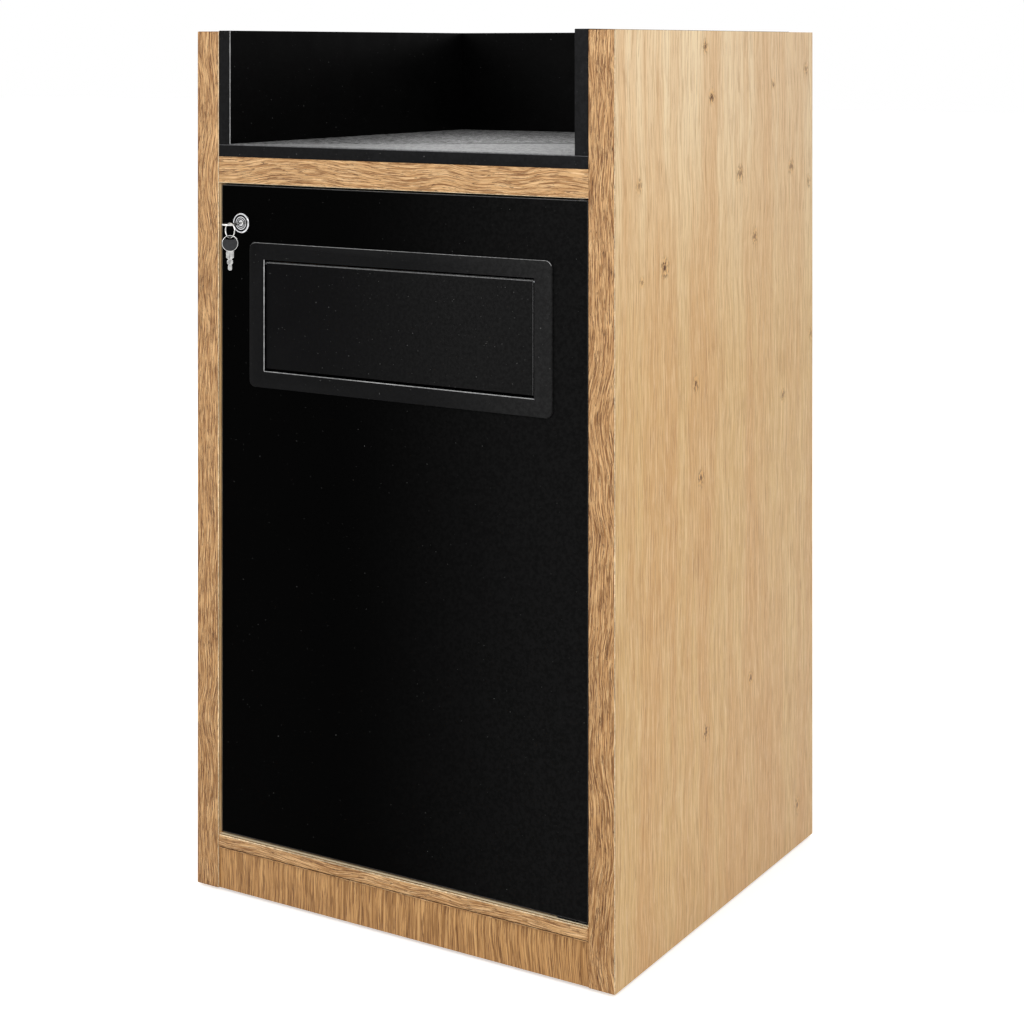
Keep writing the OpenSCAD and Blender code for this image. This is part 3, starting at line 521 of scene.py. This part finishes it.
def block(name, low, high):
    low, high = Vector(low), Vector(high)
    bpy.ops.object.select_all(action="DESELECT")
    bpy.ops.mesh.primitive_cube_add(size=1, location=(low + high) / 2, scale=high - low)
    return fix_place(bpy.context.object, name)


def rod(name, start, end, radius, sides=64):
    start, end = Vector(start), Vector(end)
    turn = (end - start).to_track_quat("Z", "Y").to_euler()
    bpy.ops.object.select_all(action="DESELECT")
    bpy.ops.mesh.primitive_cylinder_add(vertices=sides, radius=radius,
                                        depth=(end - start).length,
                                        location=(start + end) / 2, rotation=turn)
    return fix_place(bpy.context.object, name)


# %% Edit mode by place and normal
def clear_picks(piece):
    mesh = piece.data
    for kind in (mesh.vertices, mesh.edges, mesh.polygons):
        kind.foreach_set("select", [False] * len(kind))


def edit_edges(piece, wanted):
    only(piece)
    clear_picks(piece)
    bpy.context.tool_settings.mesh_select_mode = (False, True, False)
    points = piece.data.vertices
    for edge in piece.data.edges:
        edge.select = wanted(*(points[i].co for i in edge.vertices))
    bpy.ops.object.mode_set(mode="EDIT")


def edit_faces(piece, wanted):
    only(piece)
    clear_picks(piece)
    bpy.context.tool_settings.mesh_select_mode = (False, False, True)
    for face in piece.data.polygons:
        face.select = wanted(face.center, face.normal)
    bpy.ops.object.mode_set(mode="EDIT")


def edit_all(piece):
    only(piece)
    bpy.ops.object.mode_set(mode="EDIT")
    bpy.ops.mesh.select_all(action="SELECT")


def leave_edit():
    bpy.ops.object.mode_set(mode="OBJECT")


def round_edges(piece, width, segments=2, wanted=lambda a, b: True):
    edit_edges(piece, wanted)
    bpy.ops.mesh.bevel(offset=width, segments=segments, affect="EDGES")
    leave_edit()
    return piece


# %% Modifiers, joins and copies
def cut(piece, *cutters):
    for cutter in cutters:
        only(piece)
        step = piece.modifiers.new("cut", "BOOLEAN")
        step.operation = "DIFFERENCE"
        step.solver = "EXACT"
        step.object = cutter
        bpy.ops.object.modifier_apply(modifier=step.name)
        bpy.data.objects.remove(cutter)
    return piece


def joined(piece, *others):
    only(piece)
    for other in others:
        other.select_set(True)
    bpy.ops.object.join()
    return piece


def soften(piece, width, segments=2, angle=30):
    only(piece)
    step = piece.modifiers.new("soften", "BEVEL")
    step.width = width
    step.segments = segments
    step.limit_method = "ANGLE"
    step.angle_limit = math.radians(angle)
    bpy.ops.object.modifier_apply(modifier=step.name)
    return piece


def from_node(node, name, width=0.0, segments=2):
    """A copy of a CAD node with its triangles merged, flat faces cleaned and edges softened."""
    piece = bpy.data.objects.new(name, nodes[node].data.copy())
    piece.data.name = name
    bpy.context.scene.collection.objects.link(piece)
    edit_all(piece)
    bpy.ops.mesh.remove_doubles(threshold=0.00001)
    bpy.ops.mesh.dissolve_limited(angle_limit=math.radians(1))
    leave_edit()
    return soften(piece, width, segments) if width else piece


def copied(piece, name, matrix):
    """A copy with its own mesh, put in its place by a matrix."""
    twin = bpy.data.objects.new(name, piece.data.copy())
    twin.data.name = name
    twin.data.transform(matrix)
    bpy.context.scene.collection.objects.link(twin)
    return twin


# %% Settling a piece
def slanted(centre, normal):
    return max(abs(normal.x), abs(normal.y), abs(normal.z)) < 0.97


def settle(piece, body, slot, finish, *stands_for, also=(), smooth=32):
    """also: further finishes, each with a test of the faces that get it."""
    only(piece)
    bpy.ops.object.shade_smooth_by_angle(angle=math.radians(smooth))
    piece.data.materials.clear()
    for layer in (finish, *(other for other, where in also)):
        piece.data.materials.append(layer)
    for face in piece.data.polygons:
        face.material_index = 0
        for index, (other, where) in enumerate(also, 1):
            if where(face.center, face.normal):
                face.material_index = index
    if stands_for:
        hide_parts(*stands_for)
    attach(piece, body)
    print(piece.name, "faces", len(piece.data.polygons), "on", body)
    return piece


def board(node, name, width, slot, finish, segments=2, **more):
    piece = round_edges(block(name, *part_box(node)), width, segments)
    return settle(piece, "carcass", slot, finish, node, **more)


# %% [markdown]
# ## The boards of the carcass
# A real board is cut from a laminated sheet, and its raw edge is covered with a strip that is
# rounded over with a small router bit. So each board here is a cube at the CAD board's size with
# its edges beveled by a fraction of a millimetre: enough to catch a thin line of light. The strips
# beside the door are paler on their edge that faces right, a painted highlight, as are some edges
# of the rail and of the floor board's strip; the seam below that strip gets painted shade.

# %% Side boards and front strips
TILT = 0.15


def front_arris(centre, normal):
    return slanted(centre, normal) and normal.y < -TILT


def right_arris(centre, normal):
    return front_arris(centre, normal) and normal.x > TILT


def left_arris(centre, normal):
    return front_arris(centre, normal) and normal.x < -TILT


def upper_arris(centre, normal):
    return front_arris(centre, normal) and normal.z > TILT


def lower_arris(centre, normal):
    return front_arris(centre, normal) and normal.z < -TILT


def front_face(centre, normal):
    return normal.y < -0.9


board("left_side_panel", "left_side_board", 0.4 * MM, "oak_panel", oak_side)
board("right_side_panel", "right_side_board", 0.4 * MM, "oak_panel", oak_side)
# The strips' edges that face right, and the left strip's inner face, get a pale painted highlight.
board("left_front_edging", "left_front_strip", 1.2 * MM, "oak_edging", oak_front, 3,
      also=((pale_oak_highlight, right_arris), (pale_oak_highlight, lambda c, n: n.x > 0.9)))
board("right_front_edging", "right_front_strip", 0.7 * MM, "oak_edging", oak_front, 3,
      also=((pale_oak_highlight, right_arris),))

# %% Rail, floor board and kick boards
# The rail's lower edge and the floor board strip's top get a pale painted highlight; the seam
# between that strip and the kick board gets painted shade.
board("top_rail_edging", "rail_strip", 0.6 * MM, "oak_edging", oak_rail, 3,
      also=((pale_oak_highlight, lower_arris),))
board("floor_panel_edging", "floor_board_strip", 1.7 * MM, "oak_edging", oak_rail, 3,
      also=((pale_oak_highlight, upper_arris), (seam_shade, lower_arris),
            (pale_oak_highlight, lambda c, n: n.z > 0.9)))
board("kick_board", "kick_board_front", 0.6 * MM, "oak_kick", oak_kick,
      also=((seam_shade, upper_arris),))
board("rear_kick_board", "kick_board_rear", 0.5 * MM, "oak_panel", oak_kick)

# %% Tray shelf, laminate and liners
# The upper edges of the shelf and tray get a grey painted highlight, and the left liner's right
# edge a bright one.
board("tray_shelf", "shelf_board", 0.7 * MM, "black_board", liner_board, 3,
      also=((front_banding, front_face), (grey_edge_highlight, upper_arris)))
board("tray_surface", "tray_laminate_sheet", 0.4 * MM, "tray_laminate", tray_grey,
      also=((grey_edge_highlight, upper_arris),))
board("left_tray_liner", "left_liner", 0.7 * MM, "black_board", liner_board, 3,
      also=((front_banding, front_face), (bright_edge_highlight, right_arris)))
board("right_tray_liner", "right_liner", 0.7 * MM, "black_board", liner_board, 3,
      also=((front_banding, front_face),))
board("door_stop_rail", "stop_rail", 0.8 * MM, "black_board", liner_board)

# %% [markdown]
# ## The door's edging
# A thin plastic strip runs round the door board. It is a cube of the door's size whose front and
# back faces are inset by the strip's thickness and then bridged, which leaves a closed ring. One
# rod, cut out of it from top to bottom, makes the two bores for the pivot bushes.

# %% Door edging
door_low, door_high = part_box("door_edging")


def outer_edge(a, b):
    sides = [min(p.x - door_low.x, door_high.x - p.x, p.z - door_low.z, door_high.z - p.z)
             for p in (a, b)]
    return max(sides) < 0.01 * MM


door_ring = block("door_edge_strip", door_low, door_high)
edit_faces(door_ring, lambda centre, normal: abs(normal.y) > 0.9)
bpy.ops.mesh.inset(thickness=1.0 * MM)
bpy.ops.mesh.bridge_edge_loops()
leave_edit()
round_edges(door_ring, 0.4 * MM, 3, outer_edge)
bush_low, bush_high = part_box("pivot_bushes")
pin_x, pin_y = (bush_low.x + bush_high.x) / 2, (bush_low.y + bush_high.y) / 2
cut(door_ring, rod("bush_bore", (pin_x, pin_y, bush_low.z), (pin_x, pin_y, bush_high.z), 4 * MM))
# The door strip's upper edge gets a soft painted highlight, its lower and left edges a grey one.
settle(door_ring, "door", "black_edging", black_edging, "door_edging",
       also=((soft_edge_highlight, upper_arris), (grey_edge_highlight, lower_arris), (grey_edge_highlight, left_arris)))

# %% [markdown]
# ## The flap unit
# The bezel is a moulded frame: a flat plate with round corners and a sharp opening, and behind it
# a collar that goes through the door, with six bosses for screws. The plate is a cube whose four
# corner edges are beveled to their radius, and the opening is cut with a second cube. Light falls
# from above and from the right, so the edges that face it get a painted highlight, and the walls
# of the opening get painted shade.

# %% Bezel plate
bezel_low, bezel_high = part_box("flap_bezel")
door_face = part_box("door_panel")[0].y
bezel_mid = (bezel_low + bezel_high) / 2
MOUTH = (194.5 * MM, 68.75 * MM)
CAVITY = (199 * MM, 73.25 * MM)
COLLAR = (201.5 * MM, 75.75 * MM)
EAR_X, EAR_HALF = 196.75 * MM, 2.25 * MM
BOSS_Z, BOSS_STEP, BOSS_RADIUS = 83 * MM, 150 * MM, 4 * MM
CORNER = 9 * MM


def frame_block(name, half, y0, y1):
    return block(name, (bezel_mid.x - half[0], y0, bezel_mid.z - half[1]),
                 (bezel_mid.x + half[0], y1, bezel_mid.z + half[1]))


def along_y(a, b):
    return abs(a.x - b.x) < 0.01 * MM and abs(a.z - b.z) < 0.01 * MM


bezel = block("flap_surround", bezel_low, (bezel_high.x, door_face, bezel_high.z))
round_edges(bezel, CORNER, 10, along_y)
cut(bezel, frame_block("mouth", MOUTH, bezel_low.y - MM, door_face + MM))
round_edges(bezel, 0.9 * MM, 3, lambda a, b: max(a.y, b.y) < bezel_low.y + 0.01 * MM)

# %% Collar, ears and bosses
collar = frame_block("collar", COLLAR, door_face, bezel_high.y)
cut(collar, frame_block("cavity", CAVITY, door_face - MM, bezel_high.y + MM))
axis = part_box("flap_pins")
axis_z = (axis[0].z + axis[1].z) / 2
ears = [block("ear", (side * EAR_X - EAR_HALF, door_face, axis_z - 5 * MM),
              (side * EAR_X + EAR_HALF, door_face + 6 * MM, axis_z + 5 * MM))
        for side in (-1, 1)]
bosses = [rod("boss", (x * BOSS_STEP, door_face, bezel_mid.z + side * BOSS_Z),
              (x * BOSS_STEP, door_face + 12 * MM, bezel_mid.z + side * BOSS_Z),
              BOSS_RADIUS, 32)
          for x in (-1, 0, 1) for side in (-1, 1)]
joined(bezel, collar, *ears, *bosses)


def in_mouth(centre, margin):
    return (abs(centre.x - bezel_mid.x) < MOUTH[0] + margin
            and abs(centre.z - bezel_mid.z) < MOUTH[1] + margin)


def lit_bezel(centre, normal):
    """Edges that catch the light: the outer top edge, and the opening's lower and left edge."""
    if not slanted(centre, normal) or normal.y > -TILT or centre.y > door_face - MM:
        return False
    if in_mouth(centre, 1.2 * MM):
        return normal.z > 0.2 or normal.x > 0.2
    return normal.z > 0.35


def mouth_wall(centre, normal):
    """The walls of the opening, which lie in shadow."""
    return abs(normal.y) < TILT and centre.y < door_face and in_mouth(centre, 0.5 * MM)


# The lit edges get a painted highlight and the walls of the opening get painted shade.
settle(bezel, "door", "black_plastic", bezel_black, "flap_bezel",
       also=((bright_edge_highlight, lit_bezel), (gap_shadow, mouth_wall)))

# %% Retaining frame
retainer = from_node("bezel_retainer", "retaining_frame", 0.5 * MM)
settle(retainer, "door", "black_plastic", moulded_black, "bezel_retainer")

# %% [markdown]
# The flap is a thin moulded plate with a rolled top edge, two stiffening ribs and a lip at the
# bottom that stops it behind the bezel. Its CAD solid already has that shape, so a copy gets its
# loose triangles merged, its flat faces cleaned and its edges rounded. The faces that line the gap
# round it are in shadow.

# %% Flap
flap = from_node("flap", "push_flap_plate", 0.5 * MM)
flap_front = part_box("flap")[0].y


def flap_rim(centre, normal):
    """The plate's narrow sides, its lip and the arrises that face down or to the left."""
    side = abs(normal.y) < 0.2 and centre.y < flap_front + 4 * MM
    lip = normal.y < -0.5 and centre.y > flap_front + 0.8 * MM
    low = slanted(centre, normal) and normal.y < 0 and min(normal.x, normal.z) < -0.3
    return side or lip or low


def lit_flap(centre, normal):
    return slanted(centre, normal) and normal.y < -0.2 and max(normal.x, normal.z) > 0.3


# The flap's edges that face the light get a painted highlight, and the faces round the gap get
# painted shade.
settle(flap, "push_flap", "black_plastic", moulded_black, "flap",
       also=((soft_edge_highlight, lit_flap), (gap_shadow, flap_rim)))

# %% [markdown]
# ## The lock
# A cam lock has a turned face with rings, a threaded barrel and a plug that turns in it. Turned
# shapes are drawn as half a section and spun about the axis. A plane merged into one vertex is
# extruded from point to point for the section. The grooves between the rings and the hollow of
# the keyway get a darker chrome: painted shade in the recesses.

# %% Turned shapes
def turned(name, section, centre, steps=96):
    """Spins a section of (radius, y) points about an axis along Y, in millimetres."""
    centre = Vector(centre)
    points = [Vector((radius * MM, y * MM, 0)) for radius, y in section]
    bpy.ops.object.select_all(action="DESELECT")
    bpy.ops.mesh.primitive_plane_add(size=MM, location=centre)
    piece = fix_place(bpy.context.object, name)
    edit_all(piece)
    bpy.context.tool_settings.mesh_select_mode = (True, False, False)
    bpy.ops.mesh.select_all(action="SELECT")
    bpy.ops.mesh.merge(type="CENTER")
    bpy.ops.transform.translate(value=points[0])
    for here, there in zip(points, points[1:]):
        bpy.ops.mesh.extrude_vertices_move(TRANSFORM_OT_translate={"value": there - here})
    bpy.ops.mesh.select_all(action="SELECT")
    bpy.ops.mesh.spin(steps=steps, angle=math.tau, center=centre, axis=(0, 1, 0))
    bpy.ops.mesh.select_all(action="SELECT")
    bpy.ops.mesh.remove_doubles(threshold=0.000002)
    bpy.ops.mesh.normals_make_consistent(inside=False)
    leave_edit()
    return piece


# %% Lock body and plug
plug_low, plug_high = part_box("lock_plug")
lock_at = Vector(((plug_low.x + plug_high.x) / 2, door_face, (plug_low.z + plug_high.z) / 2))
THREADS, PITCH = 12, 1.3
thread = []
for turn in range(THREADS):
    y = 8 + turn * PITCH
    thread += [(9.5, y), (9.5, y + 0.5), (8.9, y + 0.8), (8.9, y + 1.1)]
body_section = [(6.05, 24.4), (6.05, -1.4), (6.9, -1.4), (7.1, -2.7), (8.2, -2.7), (8.4, -1.3),
                (9.5, -1.3), (9.9, -2.4), (10.6, -2.9), (12.0, -2.9), (12.5, -2.4), (12.5, 0),
                (9.5, 0), (9.5, 7)] + thread + [(9.3, 24.4), (6.05, 24.4)]
lock_face = turned("lock_face_and_barrel", body_section, lock_at)


def lock_reach(centre):
    return math.hypot(centre.x - lock_at.x, centre.z - lock_at.z)


def in_groove(centre, normal):
    reach = lock_reach(centre)
    rings = 7.05 * MM < reach < 8.25 * MM or reach > 10.5 * MM
    return centre.y < door_face - 0.5 * MM and not rings


# The grooves between the rings get painted shade in a darker chrome.
settle(lock_face, "door", "lock_chrome", chrome, "lock_body", also=((shaded_chrome, in_groove),))

plug_section = [(0.001, -2.6), (3.7, -2.6), (3.9, -1.9), (4.9, -1.9), (5.1, -2.8), (5.8, -2.8),
                (5.95, -2.5), (5.95, 24.4), (0.001, 24.4)]
plug = turned("lock_plug_face", plug_section, lock_at)
key_slot = block("keyway", lock_at + Vector((-3.9, -4, -1.2)) * MM,
                 lock_at + Vector((3.9, 12, 1.2)) * MM)
square = block("cam_square", lock_at + Vector((-3, 23.5, -3)) * MM,
               lock_at + Vector((3, 26.5, 3)) * MM)
cut(plug, key_slot)
joined(plug, square)


def plug_hollow(centre, normal):
    depth = centre.y - door_face
    return -2.5 * MM < depth < 12.5 * MM and lock_reach(centre) < 5.0 * MM


# The keyway hollow gets painted shade in a darker chrome.
settle(plug, "lock_cylinder", "lock_chrome", chrome, "lock_plug",
       also=((shaded_chrome, plug_hollow),))
settle(from_node("lock_nut", "lock_ring_nut", 0.35 * MM), "door", "zinc_steel", zinc, "lock_nut")
settle(from_node("lock_cam", "lock_cam_plate", 0.3 * MM), "lock_cylinder", "zinc_steel", zinc,
       "lock_cam")

# %% [markdown]
# ## The keys
# Both keys are alike: a nickel key whose round bow has a plastic cover on each side, so that its
# metal rim shows as a silver line. One is modelled in the lock, lying flat, and copied to the
# place where the spare hangs. Each blade gets the milled groove that a real key has, made by an
# inset that sinks its two flat sides.

# %% Key in the lock
head_low, head_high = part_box("key_head")
head_at = (head_low + head_high) / 2


def head_slot():
    slot = block("slot", head_at + Vector((-5.5, -7.95, -2)) * MM,
                 head_at + Vector((5.5, -4.45, 2)) * MM)
    return round_edges(slot, 1.7 * MM, 6, lambda a, b: abs(a.z - b.z) > MM)


def disc(name, radius, thick, soft):
    piece = rod(name, head_at - Vector((0, 0, thick / 2 * MM)),
                head_at + Vector((0, 0, thick / 2 * MM)), radius * MM, 96)
    return round_edges(piece, soft * MM, 3, lambda a, b: abs(a.z - b.z) < 0.001 * MM)


key_rim = cut(disc("key_rim", 10, 1.9, 0.35), head_slot())
key_cover_piece = cut(disc("key_bow_cover", 9.5, 2.6, 0.45), head_slot())
blade = from_node("key_blade", "key_blade_milled")
edit_faces(blade, lambda centre, normal: abs(normal.z) > 0.9)
bpy.ops.mesh.inset(thickness=1.4 * MM, depth=-0.3 * MM)
leave_edit()
soften(blade, 0.15 * MM)


def milled(centre, normal):
    return abs(normal.z) > 0.9 and abs(centre.z - head_at.z) < 0.85 * MM


# %% Spare key
spare_low, spare_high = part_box("spare_key_head")
spare_at = (spare_low + spare_high) / 2
SPARE_TURN, RING_TURN = 31, -12.6
hang = (Matrix.Translation(spare_at) @ Matrix.Rotation(math.radians(SPARE_TURN), 4, "Z")
        @ Matrix.Rotation(math.radians(-90), 4, "X") @ Matrix.Translation(-head_at))
spare_rim = copied(key_rim, "spare_key_rim", hang)
spare_cover = copied(key_cover_piece, "spare_key_bow_cover", hang)
spare_blade = copied(blade, "spare_key_blade_milled", hang)
back = hang.inverted()
for rim, cover, steel, body, head, metal_node, place in (
        (key_rim, key_cover_piece, blade, "key", "key_head", "key_blade",
         Matrix.Identity(4)),
        (spare_rim, spare_cover, spare_blade, "ring_and_spare_key", "spare_key_head",
         "spare_key_blade", back)):
    settle(rim, body, "key_nickel", nickel)
    settle(cover, body, "key_cover", key_cover, head)
    settle(steel, body, "key_nickel", nickel, metal_node,
           also=((brushed_nickel, lambda c, n: milled(place @ c, place.to_3x3() @ n)),))

# %% [markdown]
# ## The key ring
# A split ring is a flat steel wire wound twice round. A small circle, flattened, is the wire's
# section, and a screw modifier winds it two times about the ring's axis.

# %% Key ring
ring_low, ring_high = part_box("key_ring")
ring_at = (ring_low + ring_high) / 2
bpy.ops.object.select_all(action="DESELECT")
RING_RADIUS, WIRE = 9 * MM, 0.6 * MM
bpy.ops.mesh.primitive_circle_add(vertices=14, radius=0.5 * MM, location=(RING_RADIUS, 0, -WIRE),
                                  rotation=(math.radians(90), 0, 0), scale=(1.1, 0.55, 1))
key_ring = fix_place(bpy.context.object, "split_key_ring")
winding = key_ring.modifiers.new("winding", "SCREW")
winding.axis = "Z"
winding.angle = math.tau
winding.iterations = 2
winding.screw_offset = WIRE
winding.steps = 72
bpy.ops.object.modifier_apply(modifier=winding.name)
edit_all(key_ring)
bpy.ops.mesh.remove_doubles(threshold=0.000002)
bpy.ops.mesh.fill_holes(sides=0)
bpy.ops.mesh.select_all(action="SELECT")
bpy.ops.mesh.normals_make_consistent(inside=False)
leave_edit()
key_ring.data.transform(Matrix.Translation(ring_at)
                        @ Matrix.Rotation(math.radians(RING_TURN), 4, "Z")
                        @ Matrix.Rotation(math.radians(90), 4, "X"))
settle(key_ring, "ring_and_spare_key", "key_nickel", nickel, "key_ring")

# %% [markdown]
# ## The waste bin
# The bin behind the door is moulded: it tapers, its corners are round, and its rim is rolled over.
# A cube is given the bin's top size and its base is scaled in for the taper. The upright edges are
# beveled wide, the top face is deleted, and the rim is extruded from the open edge, outward and
# then down. A solidify modifier gives the wall its thickness.

# %% Waste bin
bin_low, bin_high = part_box("waste_bin")
bin_mid = (bin_low + bin_high) / 2
RIM, TAPER, WALL, LIP = 12 * MM, 30 * MM, 3 * MM, 16 * MM
half_x, half_y = (bin_high.x - bin_low.x) / 2, (bin_high.y - bin_low.y) / 2
waste_bin = block("waste_bin_shell", (bin_low.x + RIM, bin_low.y + RIM, bin_low.z),
                  (bin_high.x - RIM, bin_high.y - RIM, bin_high.z))


def scaled_about(half_from, half_to):
    bpy.ops.transform.resize(value=(half_to[0] / half_from[0], half_to[1] / half_from[1], 1),
                             center_override=(bin_mid.x, bin_mid.y, bin_mid.z))


edit_faces(waste_bin, lambda centre, normal: normal.z < -0.9)
scaled_about((half_x - RIM, half_y - RIM), (half_x - RIM - TAPER, half_y - RIM - TAPER))
leave_edit()
round_edges(waste_bin, 36 * MM, 10, lambda a, b: abs(a.z - b.z) > 100 * MM)
round_edges(waste_bin, 8 * MM, 4, lambda a, b: max(a.z, b.z) < bin_low.z + MM)
edit_faces(waste_bin, lambda centre, normal: normal.z > 0.9)
bpy.ops.mesh.delete(type="FACE")
leave_edit()
edit_edges(waste_bin, lambda a, b: min(a.z, b.z) > bin_high.z - MM)
reach = (half_x - RIM, half_y - RIM)
for out, down in ((RIM - MM, 0), (MM, -MM), (0, MM - LIP)):
    wider = (reach[0] + out, reach[1] + out)
    bpy.ops.mesh.extrude_region_move()
    scaled_about(reach, wider)
    bpy.ops.transform.translate(value=(0, 0, down))
    reach = wider
leave_edit()
only(waste_bin)
shell = waste_bin.modifiers.new("wall", "SOLIDIFY")
shell.thickness = WALL
shell.offset = -1
shell.use_even_offset = True
bpy.ops.object.modifier_apply(modifier=shell.name)
soften(waste_bin, 0.8 * MM, 2, 50)
settle(waste_bin, "bin", "bin_plastic", bin_plastic, "waste_bin")

# %% [markdown]
# ## Screws, glides and small hardware
# Screw heads repeat, so one head with a cross recess is modelled at the origin and copied to each
# place with its own mesh. The places come from the CAD nodes: a copy is taken apart into its loose
# pieces, and each piece's box says where its screw sits. All heads of one node become one object.

# %% Places of repeated parts
def loose_boxes(node):
    """Boxes of the separate solids in a CAD node."""
    piece = from_node(node, "taken_apart")
    edit_all(piece)
    bpy.ops.mesh.separate(type="LOOSE")
    leave_edit()
    parts = list(bpy.context.selected_objects)
    boxes = []
    for part in parts:
        corners = [v.co.copy() for v in part.data.vertices]
        boxes.append((Vector([min(c[i] for c in corners) for i in range(3)]),
                      Vector([max(c[i] for c in corners) for i in range(3)])))
        bpy.data.objects.remove(part)
    return sorted(boxes, key=lambda box: tuple(box[0]))


def screw_master(radius, height, shank, length):
    """A pan head with a cross recess, its seat at the origin and its shank along -Z."""
    head = rod("screw_master", (0, 0, 0), (0, 0, height), radius, 40)
    round_edges(head, height * 0.6, 4, lambda a, b: min(a.z, b.z) > height * 0.99)
    arm = radius * 0.62
    cut(head, block("arm", (-arm, -0.5 * MM, height * 0.35), (arm, 0.5 * MM, height * 2)),
        block("arm", (-0.5 * MM, -arm, height * 0.35), (0.5 * MM, arm, height * 2)))
    return joined(head, rod("shank", (0, 0, -length), (0, 0, 0), shank, 20))


HEAD, HEAD_HIGH, SHANK, SPIN = 3.5 * MM, 1.8 * MM, 1.7 * MM, 37


def screws(node, name, axis, body):
    """Zinc screw heads at each solid of a node; they look along the axis."""
    boxes = loose_boxes(node)
    length = max(box[1][axis] - box[0][axis] for box in boxes) - HEAD_HIGH
    master = screw_master(HEAD, HEAD_HIGH, SHANK, length)
    looks = Vector([1 if i == axis else 0 for i in range(3)])
    turn = looks.to_track_quat("Z", "Y").to_matrix().to_4x4()
    twins = []
    for count, (low, high) in enumerate(boxes):
        seat = (low + high) / 2
        seat[axis] = high[axis] - HEAD_HIGH
        spun = Matrix.Rotation(math.radians(SPIN * count), 4, "Z")
        twins.append(copied(master, name, Matrix.Translation(seat) @ turn @ spun))
    bpy.data.objects.remove(master)
    heads = joined(*twins)
    heads.name = name
    return settle(heads, body, "zinc_steel", zinc, node)


# %% Back panel and its screws
back_board = round_edges(block("back_board", *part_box("back_panel")), 0.6 * MM)
back_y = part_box("back_panel")[1].y
pits = []
for low, high in loose_boxes("back_panel_screws"):
    mid = (low + high) / 2
    pits.append(rod("pit", (mid.x, back_y - HEAD_HIGH, mid.z), (mid.x, back_y + MM, mid.z),
                    HEAD + 0.25 * MM, 40))
cut(back_board, joined(*pits))
settle(back_board, "carcass", "black_board", liner_board, "back_panel")
screws("back_panel_screws", "back_screw_heads", DEEP, "carcass")

# %% Screws of the bezel and strike, plates and strike bracket
screws("retainer_screws", "retainer_screw_heads", DEEP, "door")
screws("strike_screws", "strike_screw_heads", ACROSS, "carcass")
for node, name in (("strike_bracket", "strike_angle"), ("top_pivot_plate", "top_pivot"),
                   ("bottom_pivot_plate", "bottom_pivot")):
    settle(from_node(node, name, 0.3 * MM), "carcass", "zinc_steel", zinc, node)

# %% [markdown]
# ## Finish
# The remaining CAD nodes keep their shape and get their finishes.

# %% Finishes of the CAD nodes
node_finishes = {
    "top_panel": oak_inside, "floor_panel": oak_inside, "door_panel": black_board,
    "door_stop_rail": liner_board, "glue_blocks": beech, "bin_cleats": beech,
    "panel_dowels": beech, "floor_glides": small_black, "door_bumpers": rubber,
    "pivot_bushes": small_black, "waste_bin": bin_plastic, "lock_body": chrome, "lock_nut": zinc,
    "lock_plug": chrome, "lock_cam": zinc, "cam_screw": zinc, "key_blade": nickel,
    "spare_key_blade": nickel, "key_head": key_cover, "spare_key_head": key_cover,
    "key_ring": nickel,
}
for name, part in nodes.items():
    finish = node_finishes.get(name, zinc)
    if not part.material_slots:
        part.data.materials.append(finish)
    for place in part.material_slots:
        place.material = finish
print("finished", len(nodes), "nodes")
